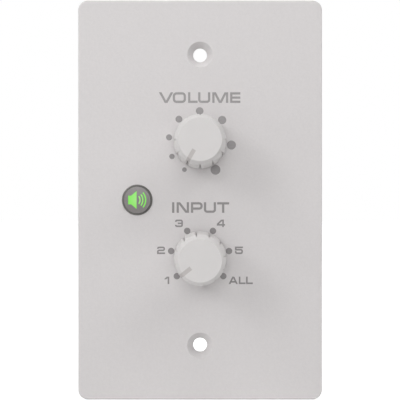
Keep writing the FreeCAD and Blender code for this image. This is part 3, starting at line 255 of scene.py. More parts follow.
# Characters, in shares of their height: the radius of the O's corners, and each one's width and
# the space on its left and on its right
ROUND_CORNER = 0.24
GLYPHS = {
    "V": (1.36, -0.07, -0.12), "O": (1.24, 0.07, 0.11), "L": (0.90, 0.09, -0.02), "U": (1.14, 0.07, 0.10),
    "M": (1.50, 0.09, 0.09), "E": (0.97, 0.09, 0.05), "N": (1.17, 0.09, 0.09), "P": (1.11, 0.09, 0.04),
    "T": (1.13, 0.01, 0.01), "I": (0.22, 0.09, 0.12), "A": (1.25, 0.0, 0.03), "1": (0.60, 0.0, 0.0),
    "2": (1.07, 0.0, 0.0), "3": (1.07, 0.0, 0.0), "4": (1.09, 0.0, 0.0), "5": (1.07, 0.0, 0.0),
}


# Materials

class Nodes:
    """A node tree, with short ways to add to it."""

    def __init__(self, owner):
        owner.use_nodes = True
        self.tree = owner.node_tree

    def add(self, kind, **settings):
        """A new node with its settings."""
        item = self.tree.nodes.new(kind)
        for name, value in settings.items():
            setattr(item, name, value)
        return item

    def join(self, output, target):
        """Link an output to an input."""
        self.tree.links.new(output, target)

    def feed(self, value, target):
        """Link an output, or set a plain number or colour."""
        if isinstance(value, bpy.types.NodeSocket):
            self.join(value, target)
        else:
            target.default_value = value

    def math(self, operation, first, second=0.0):
        """One step of arithmetic on outputs or plain numbers."""
        item = self.add("ShaderNodeMath", operation=operation)
        self.feed(first, item.inputs[0])
        self.feed(second, item.inputs[1])
        return item.outputs[0]

    def part(self, vector, name):
        """One coordinate of a vector."""
        item = self.add("ShaderNodeSeparateXYZ")
        self.join(vector, item.inputs[0])
        return item.outputs[name]

    def spread(self, value, low, high, start=0.3, end=0.7):
        """Map a texture's middle range to a range of results."""
        item = self.add("ShaderNodeMapRange")
        for name, number in (("From Min", start), ("From Max", end), ("To Min", low), ("To Max", high)):
            item.inputs[name].default_value = number
        self.join(value, item.inputs["Value"])
        return item.outputs["Result"]

    def blend(self, factor, first, second, kind="RGBA"):
        """A colour or a number between two."""
        item = self.add("ShaderNodeMix", data_type=kind)
        self.feed(factor, item.inputs["Factor"])
        self.feed(first, item.inputs["A"])
        self.feed(second, item.inputs["B"])
        return item.outputs["Result"]


class Finish(Nodes):
    """A procedural material: one surface shader and textures in the object's own space."""

    def __init__(self, name, color, roughness, metallic=0.0, **inputs):
        self.material = bpy.data.materials.new(name)
        super().__init__(self.material)
        self.surface = self.tree.nodes["Principled BSDF"]
        self.color = (*color, 1.0)
        self.roughness = roughness
        self.place = self.add("ShaderNodeTexCoord").outputs["Object"]
        self.normal = None
        self.set("Base Color", self.color)
        self.set("Roughness", roughness)
        self.set("Metallic", metallic)
        for socket, value in inputs.items():
            self.set(socket.replace("_", " "), value)

    def set(self, socket, value):
        """Link an output to an input of the surface, or set a plain number or colour."""
        self.feed(value, self.surface.inputs[socket])

    def axis(self, name):
        """One coordinate of the point, in metres."""
        return self.part(self.place, name)

    def noise(self, grain, detail=2.0, stretch=(1, 1, 1)):
        """Cloudy values whose grains are that large, longer along a stretched axis."""
        scale = self.add("ShaderNodeMapping")
        scale.inputs["Scale"].default_value = [1 / (grain * part) for part in stretch]
        self.join(self.place, scale.inputs["Vector"])
        texture = self.add("ShaderNodeTexNoise")
        texture.inputs["Scale"].default_value = 1.0
        texture.inputs["Detail"].default_value = detail
        self.join(scale.outputs["Vector"], texture.inputs["Vector"])
        return texture.outputs["Fac"]

    def cells(self, grain):
        """Distance to the middle of the nearest cell."""
        texture = self.add("ShaderNodeTexVoronoi")
        texture.inputs["Scale"].default_value = 1 / grain
        self.join(self.place, texture.inputs["Vector"])
        return texture.outputs["Distance"]

    def radius(self, x, z):
        """Distance from a line square to the plate."""
        across = self.math("SUBTRACT", self.axis("X"), x)
        up = self.math("SUBTRACT", self.axis("Z"), z)
        squares = self.math("ADD", self.math("MULTIPLY", across, across), self.math("MULTIPLY", up, up))
        return self.math("SQRT", squares)

    def shade(self, value, amount):
        """Vary the colour by a share either way."""
        dark = (*(part * (1 - amount) for part in self.color[:3]), 1)
        light = (*(min(1, part * (1 + amount)) for part in self.color[:3]), 1)
        result = self.blend(self.spread(value, 0, 1), dark, light)
        self.set("Base Color", result)
        return result

    def gloss(self, value, amount):
        """Vary the roughness by an amount either way."""
        self.set("Roughness", self.spread(value, self.roughness - amount, self.roughness + amount))

    def relief(self, value, height):
        """Raise the surface by a texture, on top of what is there."""
        item = self.add("ShaderNodeBump")
        item.inputs["Distance"].default_value = height
        self.join(value, item.inputs["Height"])
        if self.normal:
            self.join(self.normal, item.inputs["Normal"])
        self.normal = item.outputs["Normal"]
        self.set("Normal", self.normal)


def powder_coat():
    """Pale satin powder coat: fine grain over a faint orange peel."""
    finish = Finish("plate_paint", (0.618, 0.596, 0.596), 0.5)
    finish.shade(finish.noise(0.5 * MM, 4), 0.02)
    finish.gloss(finish.noise(0.3 * MM), 0.06)
    finish.relief(finish.noise(0.9 * MM, 1), 0.024 * MM)
    finish.relief(finish.noise(0.26 * MM, 2), 0.014 * MM)
    return finish.material


def moulded(name, color, roughness, grain=0.12 * MM, height=0.004 * MM, shade=0.02):
    """Moulded plastic with the fine spark-eroded grain of its mould."""
    finish = Finish(name, color, roughness)
    finish.shade(finish.noise(2.5 * MM, 3), shade)
    finish.gloss(finish.noise(0.8 * MM, 3), 0.05)
    finish.relief(finish.noise(grain, 3), height)
    return finish.material


def worked_metal(name, color, roughness, stretch=(1, 1, 1), grain=0.05 * MM, height=0.003 * MM):
    """Metal with fine tool marks, longer along the stretched axis, and faint staining."""
    finish = Finish(name, color, roughness, metallic=1.0)
    finish.shade(finish.noise(1.6 * MM, 4), 0.06)
    finish.gloss(finish.noise(0.7 * MM, 3, stretch), 0.08)
    finish.relief(finish.noise(grain, 2, stretch), height)
    return finish.material


def ink():
    """Screen-printed ink, a little glossier than the paint under it."""
    finish = Finish("marking_ink", (0.195, 0.181, 0.182), 0.26, Specular_IOR_Level=0.8)
    finish.shade(finish.noise(0.35 * MM, 3), 0.05)
    finish.relief(finish.noise(0.26 * MM, 2), 0.006 * MM)
    return finish.material


def bezel_satin(x, z):
    """Dark satin ring, with a painted glow of faint green in its bore that stands in for the lamp's light."""
    finish = Finish("bezel_plastic", (0.160, 0.154, 0.149), 0.5, Specular_IOR_Level=0.3)
    finish.shade(finish.noise(0.4 * MM, 3), 0.06)
    finish.gloss(finish.noise(0.6 * MM, 3), 0.05)
    finish.relief(finish.noise(0.5 * MM, 2), 0.001 * MM)
    # painted glow: the bore emits a faint green in place of the lamp's light reaching it
    bore = finish.math("LESS_THAN", finish.radius(x, z), BEZEL_BORE + SUNK)
    glow = finish.blend(bore, (0, 0, 0, 1), (0.010, 0.030, 0.004, 1))
    finish.set("Emission Color", glow)
    finish.set("Emission Strength", 1.0)
    return finish.material


def cap_satin():
    """Satin grey button cap."""
    finish = Finish("cap_plastic", (0.135, 0.122, 0.120), 0.34, Specular_IOR_Level=0.9)
    finish.shade(finish.noise(0.5 * MM, 4), 0.05)
    finish.gloss(finish.noise(0.3 * MM, 3), 0.05)
    finish.relief(finish.noise(0.09 * MM, 2), 0.003 * MM)
    return finish.material


def lit_sign(x, z):
    """Green sign lit from behind: paler over the lamp, deeper towards its edges."""
    finish = Finish("lit_lens", (0.03, 0.1, 0.02), 0.3)
    share = finish.math("DIVIDE", finish.radius(x, z), SIGN_RADIUS)
    share = finish.math("MINIMUM", share, 1.0)
    glow = finish.blend(share, (0.306, 0.628, 0.19, 1), (0.153, 0.635, 0.042, 1))
    speckle = finish.blend(finish.spread(finish.noise(0.3 * MM, 3), 0, 0.06), glow, (0.2, 0.9, 0.1, 1))
    finish.set("Emission Color", speckle)
    finish.set("Emission Strength", 1.0)
    return finish.material


def clear_moulding():
    """Frosted clear plastic that glows with the lamp behind it."""
    finish = Finish("clear_plastic", (0.42, 0.62, 0.38), 0.4, Emission_Strength=0.12)
    finish.set("Emission Color", (0.2, 0.8, 0.12, 1))
    finish.shade(finish.noise(0.7 * MM, 3), 0.06)
    finish.relief(finish.noise(0.2 * MM, 2), 0.004 * MM)
    return finish.material


def lamp_epoxy():
    """Tinted lamp epoxy, lit from inside."""
    finish = Finish("lamp_epoxy", (0.2, 0.6, 0.12), 0.12)
    finish.shade(finish.noise(0.6 * MM, 2), 0.08)
    finish.set("Emission Color", (0.25, 0.9, 0.12, 1))
    finish.set("Emission Strength", 0.9)
    return finish.material


def solder_mask():
    """Green lacquer over glass weave, with the bare laminate at the board's cut edge."""
    finish = Finish("board_laminate", (0.018, 0.105, 0.042), 0.3, Specular_IOR_Level=0.55)
    weave = 0.55 * MM
    wave_x, wave_z = (
        finish.math("SINE", finish.math("MULTIPLY", finish.axis(name), 2 * math.pi / weave))
        for name in ("X", "Z"))
    depth = finish.axis("Y")
    inside = finish.math("MULTIPLY", finish.math("GREATER_THAN", depth, BOARD_FRONT + SUNK),
                         finish.math("LESS_THAN", depth, BOARD_REAR - SUNK))
    mask = finish.shade(finish.noise(3 * MM, 4), 0.14)
    finish.set("Base Color", finish.blend(inside, mask, (0.42, 0.40, 0.20, 1)))
    finish.relief(finish.math("MULTIPLY", wave_x, wave_z), 0.0012 * MM)
    finish.relief(finish.noise(0.7 * MM, 2), 0.004 * MM)
    return finish.material


def pressed_laminate():
    """Brown paper laminate with fine fibres."""
    finish = Finish("phenolic", (0.33, 0.18, 0.08), 0.55)
    finish.shade(finish.noise(0.5 * MM, 4, (4, 1, 1)), 0.2)
    finish.relief(finish.noise(0.15 * MM, 3, (4, 1, 1)), 0.006 * MM)
    return finish.material


def fired_ceramic():
    """Tan ceramic of the chip capacitors."""
    finish = Finish("chip_ceramic", (0.44, 0.29, 0.15), 0.45)
    finish.shade(finish.noise(0.25 * MM, 4), 0.12)
    finish.relief(finish.noise(0.1 * MM, 3), 0.004 * MM)
    return finish.material


def can_on_base():
    """Drawn cans, each on a black moulded base against the board."""
    finish = Finish("can_metal", (0.70, 0.70, 0.71), 0.27)
    above = finish.math("GREATER_THAN", finish.axis("Z"), 0.0)
    step = finish.math("MULTIPLY", above, CAN_BASE - CRYSTAL_BASE)
    base_top = finish.math("ADD", step, BOARD_REAR + CRYSTAL_BASE + SUNK)
    metal = finish.math("GREATER_THAN", finish.axis("Y"), base_top)
    bright = finish.shade(finish.noise(1.6 * MM, 4), 0.05)
    finish.set("Base Color", finish.blend(metal, (0.02, 0.02, 0.022, 1), bright))
    finish.set("Metallic", metal)
    finish.gloss(finish.noise(0.7 * MM, 3, (1, 6, 1)), 0.08)
    finish.relief(finish.noise(0.05 * MM, 2, (1, 6, 1)), 0.003 * MM)
    return finish.material


def solder():
    """Bright solder with a slightly crazed skin."""
    finish = Finish("solder", (0.70, 0.70, 0.69), 0.24, metallic=1.0)
    finish.shade(finish.noise(0.4 * MM, 3), 0.1)
    finish.gloss(finish.noise(0.25 * MM, 3), 0.08)
    finish.relief(finish.cells(0.3 * MM), 0.004 * MM)
    return finish.material


def track_copper():
    """Copper tracks under the green lacquer."""
    finish = Finish("board_tracks", (0.045, 0.19, 0.075), 0.3, Specular_IOR_Level=0.55)
    finish.shade(finish.noise(1.5 * MM, 3), 0.12)
    finish.relief(finish.noise(0.7 * MM, 2), 0.003 * MM)
    return finish.material


def board_print():
    """White component print."""
    finish = Finish("board_print", (0.72, 0.73, 0.70), 0.6)
    finish.shade(finish.noise(0.15 * MM, 3), 0.08)
    finish.relief(finish.noise(0.1 * MM, 2), 0.002 * MM)
    return finish.material


def make_finishes():
    """One material for each slot of the record, and the extra ones of this script."""
    button_x, button_z = spots("button_cap")[0]
    return {
        "plate_paint": powder_coat(),
        "knob_plastic": moulded(
            "knob_plastic", (0.612, 0.594, 0.588), 0.45, grain=0.14 * MM, height=0.003 * MM, shade=0.01),
        "pointer_plastic": moulded("pointer_plastic", (0.455, 0.428, 0.42), 0.5),
        "bezel_plastic": bezel_satin(button_x, button_z),
        "cap_plastic": cap_satin(),
        "lit_lens": lit_sign(button_x, button_z),
        "clear_plastic": clear_moulding(),
        "lamp_epoxy": lamp_epoxy(),
        "zinc_steel": worked_metal("zinc_steel", (0.66, 0.67, 0.68), 0.3),
        "spring_steel": worked_metal("spring_steel", (0.46, 0.45, 0.43), 0.34, stretch=(6, 1, 1)),
        "shaft_metal": worked_metal("shaft_metal", (0.72, 0.72, 0.73), 0.28, stretch=(1, 5, 1)),
        "die_cast": worked_metal("die_cast", (0.55, 0.55, 0.56), 0.42, grain=0.12 * MM, height=0.006 * MM),
        "contact_bronze": worked_metal("contact_bronze", (0.83, 0.60, 0.24), 0.24, stretch=(1, 5, 1)),
        "board_laminate": solder_mask(),
        "phenolic": pressed_laminate(),
        "carbon_film": moulded("carbon_film", (0.02, 0.02, 0.02), 0.6, shade=0.2),
        "black_moulding": moulded(
            "black_moulding", (0.018, 0.018, 0.02), 0.45, height=0.005 * MM, shade=0.15),
        "white_moulding": moulded("white_moulding", (0.7, 0.68, 0.62), 0.5),
        "chip_epoxy": moulded(
            "chip_epoxy", (0.022, 0.022, 0.025), 0.55, grain=0.1 * MM, height=0.006 * MM, shade=0.2),
        "tinned_lead": worked_metal("tinned_lead", (0.70, 0.69, 0.67), 0.3, height=0.0015 * MM),
        "can_metal": can_on_base(),
        "chip_ceramic": fired_ceramic(),
        "marking_ink": ink(),
        "solder": solder(),
        "board_tracks": track_copper(),
        "board_print": board_print(),
    }


# Meshes

def finish_piece(name, mesh_data, slot):
    """Turn a bmesh into a piece that rides on the plate, in the finish of that slot."""
    bmesh.ops.recalc_face_normals(mesh_data, faces=mesh_data.faces)
    mesh = bpy.data.meshes.new(name)
    mesh_data.to_mesh(mesh)
    mesh_data.free()
    for polygon in mesh.polygons:
        polygon.use_smooth = True
    mesh.set_sharp_from_angle(angle=SMOOTH_ANGLE)
    mesh.materials.append(FINISHES[slot])
    piece = bpy.data.objects.new(name, mesh)
    bpy.context.scene.collection.objects.link(piece)
    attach(piece, BASE)
    return piece


def round_corner(before, corner, after, radius):
    """The points of an arc that rounds one corner of a flat path."""
    back, ahead = (before - corner).normalized(), (after - corner).normalized()
    half = back.angle(ahead) / 2
    reach = radius / math.tan(half)
    centre = corner + (back + ahead).normalized() * radius / math.sin(half)
    first, last = corner + back * reach - centre, corner + ahead * reach - centre
    turn = first.angle_signed(last)
    points = []
    for step in range(CORNER_STEPS + 1):
        angle = -turn * step / CORNER_STEPS
        cosine, sine = math.cos(angle), math.sin(angle)
        turned = (first.x * cosine - first.y * sine, first.x * sine + first.y * cosine)
        points.append(centre + Vector(turned))
    return points


def rounded(path, closed=False):
    """A flat path with its corners rounded where a point gives a radius."""
    flat = [Vector(point[:2]) for point in path]
    radii = [point[2] if len(point) > 2 else 0.0 for point in path]
    points = []
    for i, point in enumerate(flat):
        inner = closed or 0 < i < len(flat) - 1
        if radii[i] and inner:
            points += round_corner(flat[i - 1], point, flat[(i + 1) % len(flat)], radii[i])
        else:
            points.append(point)
    return points


def beside(points, half, closed):
    """For each point of a path, the points on its left and on its right."""
    left, right = [], []
    last = len(points) - 1
    for i, point in enumerate(points):
        before = (point - points[i - 1]).normalized() if closed or i > 0 else None
        after = (points[(i + 1) % len(points)] - point).normalized() if closed or i < last else None
        if before is None or after is None:
            along = after or before
            side = Vector((-along.y, along.x)) * half
            for corners, corner in ((left, point + side), (right, point - side)):
                if abs(along.y) > STEEP:
                    corner = corner + along * ((point.y - corner.y) / along.y)
                corners.append(corner)
            continue
        first, second = Vector((-before.y, before.x)), Vector((-after.y, after.x))
        mitre = (first + second) / (1 + first.dot(second)) * half
        left.append(point + mitre)
        right.append(point - mitre)
    return left, right


def skin(mesh, rows, closed=False):
    """Faces over a row of like outlines, capped at both ends unless the row closes."""
    count = len(rows)
    for i in range(count if closed else count - 1):
        here, there = rows[i], rows[(i + 1) % count]
        for k in range(len(here)):
            following = (k + 1) % len(here)
            mesh.faces.new((here[k], here[following], there[following], there[k]))
    if not closed:
        mesh.faces.new(rows[0])
        mesh.faces.new(rows[-1])


def add_strip(mesh, path, width, base, top, closed=False):
    """A flat strip of an even width along a path in X and Z, from depth base to depth top."""
    points = rounded(path, closed)
    left, right = beside(points, width / 2, closed)
    rows = []
    for one, other in zip(left, right):
        rows.append([mesh.verts.new((flat.x, depth, flat.y))
                     for flat, depth in ((one, base), (one, top), (other, top), (other, base))])
    skin(mesh, rows, closed)


def add_turned(mesh, x, z, profile, sides):
    """A solid turned about a line along Y, from (depth, radius) points that start and end at radius 0."""
    rings = []
    for depth, radius in profile:
        if radius == 0:
            rings.append([mesh.verts.new((x, depth, z))])
            continue
        ring = []
        for i in range(sides):
            angle = 2 * math.pi * i / sides
            ring.append(mesh.verts.new((x + radius * math.cos(angle), depth, z + radius * math.sin(angle))))
        rings.append(ring)
    for one, two in zip(rings, rings[1:]):
        for i in range(sides):
            following = (i + 1) % sides
            corners = [one[i % len(one)], one[following % len(one)],
                       two[following % len(two)], two[i % len(two)]]
            corners = list(dict.fromkeys(corners))
            if len(corners) > 2:
                mesh.faces.new(corners)


def add_dot(mesh, x, z, radius, base, top):
    """A round dot of ink with a slightly soft rim."""
    rim = (top - base) / 3
    profile = [(base, 0), (base, radius), (top - rim, radius), (top, radius - abs(rim)), (top, 0)]
    add_turned(mesh, x, z, profile, DOT_SIDES)


# Printing

def glyph(character, width, height, stroke):
    """Centrelines of a character, in a box from (0, 0) to its width and height."""
    half = stroke / 2
    left, right, centre = half, width - half, width / 2
    low, high, middle = half, height - half, height / 2
    slant = 0.6 * stroke
    flat = 0.31 * stroke
    shoulder = 0.82 * stroke
    turn = 0.2 * height
    tight = 0.17 * height
    bowl = 0.22 * height
    terminal = 0.3 * height
    bar = 0.3 * height
    stem = 0.76 * width
    shapes = {
        "A": [[(slant, 0), (centre - flat, high), (centre + flat, high), (width - slant, 0)],
              [(0.27 * width, bar), (0.73 * width, bar)]],
        "E": [[(width, high), (left, high), (left, low), (width, low)],
              [(stroke, middle), (width, middle)]],
        "I": [[(centre, 0), (centre, height)]],
        "L": [[(left, height), (left, low), (width, low)]],
        "M": [[(left, 0), (left, high), (left + shoulder, high), (centre - flat, low),
               (centre + flat, low), (right - shoulder, high), (right, high), (right, 0)]],
        "N": [[(left, 0), (left, high), (left + shoulder, high), (right - shoulder, low),
               (right, low), (right, height)]],
        "P": [[(left, 0), (left, high), (right, high, bowl), (right, 0.4 * height, bowl),
               (stroke, 0.4 * height)]],
        "T": [[(0, high), (width, high)], [(centre, 0), (centre, height - stroke)]],
        "U": [[(left, height), (left, low, turn), (right, low, turn), (right, height)]],
        "V": [[(slant, height), (centre - flat, low), (centre + flat, low), (width - slant, height)]],
        "1": [[(0.1 * width, 0.64 * height), (right - shoulder, high), (right, high), (right, 0)]],
        "2": [[(left, height - terminal), (left, high, tight), (right, high, tight),
               (right, middle, tight), (left, middle, tight), (left, low), (width, low)]],
        "3": [[(left, height - terminal), (left, high, tight), (right, high, tight),
               (right, low, tight), (left, low, tight), (left, terminal)],
              [(0.36 * width, middle), (right - half, middle)]],
        "4": [[(stem, 0), (stem, height)],
              [(stem - half, height - 0.1 * stroke), (left, bar + 0.45 * stroke), (left, bar),
               (stem - half, bar)],
              [(stem + half, bar), (width, bar)]],
        "5": [[(width, high), (left, high), (left, 0.58 * height), (right, 0.58 * height, tight),
               (right, low, tight), (left, low, tight), (left, 0.4 * height)]],
    }
    return shapes[character]


def add_word(mesh, text, left, baseline, height, stroke, base, top):
    """Write characters side by side; left is the edge of the first one."""
    left -= GLYPHS[text[0]][1] * height
    for character in text:
        width, before, after = (share * height for share in GLYPHS[character])
        left += before
        if character == "O":
            half, turn = stroke / 2, ROUND_CORNER * height
            loop = [(half, half, turn), (width - half, half, turn),
                    (width - half, height - half, turn), (half, height - half, turn)]
            strokes = [(loop, True)]
        else:
            strokes = [(points, False) for points in glyph(character, width, height, stroke)]
        for points, closed in strokes:
            placed = [(left + point[0], baseline + point[1], *point[2:]) for point in points]
            add_strip(mesh, placed, stroke, base, top, closed)
        left += width + after


def on_ring(axis, ring, angle):
    """A point beside a dial: the angle turns anticlockwise from the right, seen from the front."""
    return axis.x + ring * math.cos(math.radians(angle)), axis.z + ring * math.sin(math.radians(angle))


def print_plate():
    """The two words, the figures and the dots round the dials."""
    base, top = PLATE_FRONT + SUNK, PLATE_FRONT - INK_THICKNESS
    for name, text, axis, aside, rise in WORDS:
        mesh = bmesh.new()
        add_word(mesh, text, axis.x + aside, axis.z + rise, WORD_HEIGHT, WORD_STROKE, base, top)
        finish_piece(name, mesh, "marking_ink")

    mesh = bmesh.new()
    angle = VOLUME_DOT_START
    for number, gap in enumerate((*VOLUME_DOT_GAPS, 0)):
        x, z = on_ring(VOLUME_AXIS, VOLUME_DOT_RING, angle)
        add_dot(mesh, x, z, VOLUME_DOT_RADIUS + number * VOLUME_DOT_GROWTH, base, top)
        angle -= gap
    finish_piece("volume_scale_dots", mesh, "marking_ink")

    mesh = bmesh.new()
    for number in range(INPUT_POSITIONS):
        x, z = on_ring(INPUT_AXIS, INPUT_DOT_RING, INPUT_DOT_START - number * INPUT_DOT_STEP)
        add_dot(mesh, x, z, INPUT_DOT_RADIUS, base, top)
    finish_piece("input_scale_dots", mesh, "marking_ink")

    mesh = bmesh.new()
    for text, aside, rise in INPUT_LABELS:
        left, baseline = INPUT_AXIS.x + aside, INPUT_AXIS.z + rise
        add_word(mesh, text, left, baseline, FIGURE_HEIGHT, FIGURE_STROKE, base, top)
    finish_piece("input_figures", mesh, "marking_ink")


# Circuit board details

def solids(node):
    """The boxes of a node's separate solids, as pairs of low and high corners."""
    mesh = bmesh.new()
    mesh.from_mesh(NODES[node].data)
    mesh.transform(NODES[node].matrix_world)
    bmesh.ops.remove_doubles(mesh, verts=mesh.verts, dist=WELD)
    left = set(mesh.verts)
    boxes = []
    while left:
        front = [left.pop()]
        island = []
        while front:
            vertex = front.pop()
            island.append(vertex.co.copy())
            for edge in vertex.link_edges:
                other = edge.other_vert(vertex)
                if other in left:
                    left.remove(other)
                    front.append(other)
        low = Vector([min(point[axis] for point in island) for axis in range(3)])
        high = Vector([max(point[axis] for point in island) for axis in range(3)])
        boxes.append((low, high))
    mesh.free()
    return sorted(boxes, key=lambda box: (round(box[0].x, 5), round(box[0].z, 5)))


def spots(node):
    """The middles of a node's separate solids, as flat points."""
    return [Vector(((low.x + high.x) / 2, (low.z + high.z) / 2)) for low, high in solids(node)]


def add_block(mesh, low, high, bevel=0.0):
    """A block, with softened edges where a bevel is given."""
    shape = Matrix.Translation((low + high) / 2) @ Matrix.Diagonal((*(high - low), 1))
    made = bmesh.ops.create_cube(mesh, size=1, matrix=shape)
    if bevel:
        edges = list({edge for vertex in made["verts"] for edge in vertex.link_edges})
        bmesh.ops.bevel(mesh, geom=edges, offset=bevel, segments=2, affect="EDGES", profile=0.5)


def solder_pins():
    """A pad and a hollow-sided cone of solder round every pin that goes through the board."""
    mesh = bmesh.new()
    for node in PIN_NODES:
        for low, high in solids(node):
            half = (high.x - low.x) / 2
            x, z = (low.x + high.x) / 2, (low.z + high.z) / 2
            face, outward = BOARD_REAR, 1
            if node == "network_jack_contacts":
                z = low.z + half
                face, outward = BOARD_FRONT, -1
            pad = max(PAD_RADIUS, half + PAD_MARGIN)
            start, end = pad * CONE_FOOT, half + SUNK
            profile = [(face - outward * SUNK, 0), (face - outward * SUNK, pad),
                       (face + outward * PAD_THICKNESS, pad)]
            for step in range(CONE_STEPS + 1):
                share = step / CONE_STEPS
                rise = PAD_THICKNESS + CONE_HEIGHT * share ** CONE_RISE_POWER
                radius = start + (end - start) * share ** CONE_WAIST_POWER
                profile.append((face + outward * rise, radius))
            profile.append((face + outward * (PAD_THICKNESS + CONE_HEIGHT), 0))
            add_turned(mesh, x, z, profile, PIN_SIDES)
    finish_piece("pin_solder", mesh, "solder")


def bend_leads(name, node, body):
    """Bent leads in place of a chip's plain strips: out of its side, down, and a foot on the board."""
    body_low, body_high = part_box(body)
    middle = (body_low + body_high) / 2
    mesh = bmesh.new()
    feet = bmesh.new()
    for low, high in solids(node):
        centre = (low + high) / 2
        aside = abs(centre.x - middle.x) * (body_high.z - body_low.z)
        above = abs(centre.z - middle.z) * (body_high.x - body_low.x)
        axis = 0 if aside > above else 2
        outward = math.copysign(1, centre[axis] - middle[axis])
        reach, width = high[axis] - low[axis], high[2 - axis] - low[2 - axis]
        inner = low[axis] if outward > 0 else high[axis]
        thick = min(LEAD_THICKNESS, high.y - low.y)
        exit_depth = (body_low.y + body_high.y) / 2
        base = BOARD_REAR + FOOT_LIFT
        drop = exit_depth - base
        bend = min(LEAD_BEND_REACH * reach, LEAD_BEND_DROP * drop)
        line = [(0.0, exit_depth), (bend, exit_depth), (bend + LEAD_SLANT * drop, base + thick / 2),
                (reach, base + thick / 2)]
        add_lead(mesh, line, thick, width * LEAD_WIDTH, centre, inner, outward, axis)
        grow = Vector((PAD_MARGIN, 0, PAD_MARGIN)) / 2
        foot_low, foot_high = low - grow, high + grow
        foot_low.y, foot_high.y = BOARD_REAR - SUNK, BOARD_REAR + PAD_THICKNESS
        add_block(feet, foot_low, foot_high)
        heap_low, heap_high = low - grow * FOOT_SOLDER_MARGIN, high + grow * FOOT_SOLDER_MARGIN
        heap_low.y, heap_high.y = BOARD_REAR, base + thick * FOOT_SOLDER_HEIGHT
        add_block(feet, heap_low, heap_high, bevel=FOOT_LIFT)
    piece = finish_piece(name, mesh, "tinned_lead")
    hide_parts(node)
    finish_piece(name.replace("leads", "pads"), feet, "solder")


def add_lead(mesh, line, thick, width, centre, inner, outward, axis):
    """A flat strip bent along a line of (distance outward, depth) points."""
    points = [Vector(point) for point in line]
    above, below = beside(points, thick / 2, False)
    rows = []
    for one, other in zip(above, below):
        row = []
        for point, side in ((one, -1), (one, 1), (other, 1), (other, -1)):
            place = Vector((0, point.y, 0))
            place[axis] = inner + outward * point.x
            place[2 - axis] = centre[2 - axis] + side * width / 2
            row.append(mesh.verts.new(place))
        rows.append(row)
    skin(mesh, rows)


def wind_spring():
    """The button's return spring, as a piece of its own in place of its CAD node."""
    node = "push_switch_spring"
    mesh = bmesh.new()
    mesh.from_mesh(NODES[node].data)
    mesh.transform(NODES[node].matrix_world)
    piece = finish_piece("return_spring", mesh, "spring_steel")
    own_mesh(piece)
    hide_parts(node)


def end_chips(name, node):
    """Tinned end caps and solder at the two ends of each small chip part."""
    caps = bmesh.new()
    pads = bmesh.new()
    for low, high in solids(node):
        for end, toward in ((low.z, 1), (high.z, -1)):
            inner = end + toward * CHIP_CAP
            outer = end - toward * SUNK
            edge = end - toward * CHIP_PAD
            aside = PAD_MARGIN / 2
            cap_low = Vector((low.x - SUNK, low.y, min(inner, outer)))
            cap_high = Vector((high.x + SUNK, high.y + SUNK, max(inner, outer)))
            add_block(caps, cap_low, cap_high, bevel=SUNK)
            pad_low = Vector((low.x - aside, BOARD_REAR - SUNK, min(inner, edge)))
            pad_high = Vector((high.x + aside, BOARD_REAR + PAD_THICKNESS, max(inner, edge)))
            add_block(pads, pad_low, pad_high)
            add_ramp(pads, low.x, high.x, outer, -toward, RAMP_HEIGHT * (high.y - low.y))
    finish_piece(name + "_ends", caps, "tinned_lead")
    finish_piece(name + "_solder", pads, "solder")


def add_ramp(mesh, left, right, face, outward, height):
    """A hollow ramp of solder against the end of a chip part."""
    base = BOARD_REAR + PAD_THICKNESS / 2
    rows = []
    for x in (left, right):
        row = [mesh.verts.new((x, base, face))]
        for out, up in RAMP_CURVE:
            row.append(mesh.verts.new((x, base + height * up, face + outward * CHIP_PAD * out)))
        rows.append(row)
    skin(mesh, rows)


# Tracks and plated holes

def ends(node, side, inset):
    """Flat points just inside the outermost ends of a node's solids on one side."""
    axis, sign = {"left": (0, -1), "bottom": (2, -1), "top": (2, 1)}[side]
    boxes = solids(node)
    edge = max(sign * corner[axis] for box in boxes for corner in box)
    points = []
    for low, high in boxes:
        if max(sign * low[axis], sign * high[axis]) > edge - WELD:
            point = (low + high) / 2
            point[axis] = sign * (edge - inset)
            points.append(Vector((point.x, point.z)))
    return points


def slant(start, end, along="z"):
    """A track straight along one axis, then on a diagonal to its end."""
    across, up = end - start
    if min(abs(across), abs(up)) < WELD:
        return [start, end]
    if along == "z":
        return [start, Vector((start.x, end.y - math.copysign(across, up))), end]
    return [start, Vector((end.x - math.copysign(up, across), start.y)), end]


def detour(start, end, lane):
    """A track on a diagonal to a lane at that x, along it, and on a diagonal to its end."""
    up = math.copysign(1, end.y - start.y)
    entry = Vector((lane, start.y + up * abs(lane - start.x)))
    leave = Vector((lane, end.y - up * abs(lane - end.x)))
    return [start, entry, leave, end]


def around(start, corner, end, cut):
    """A track round a square corner that is cut off."""
    before = corner + (start - corner).normalized() * cut
    after = corner + (end - corner).normalized() * cut
    return [start, before, after, end]


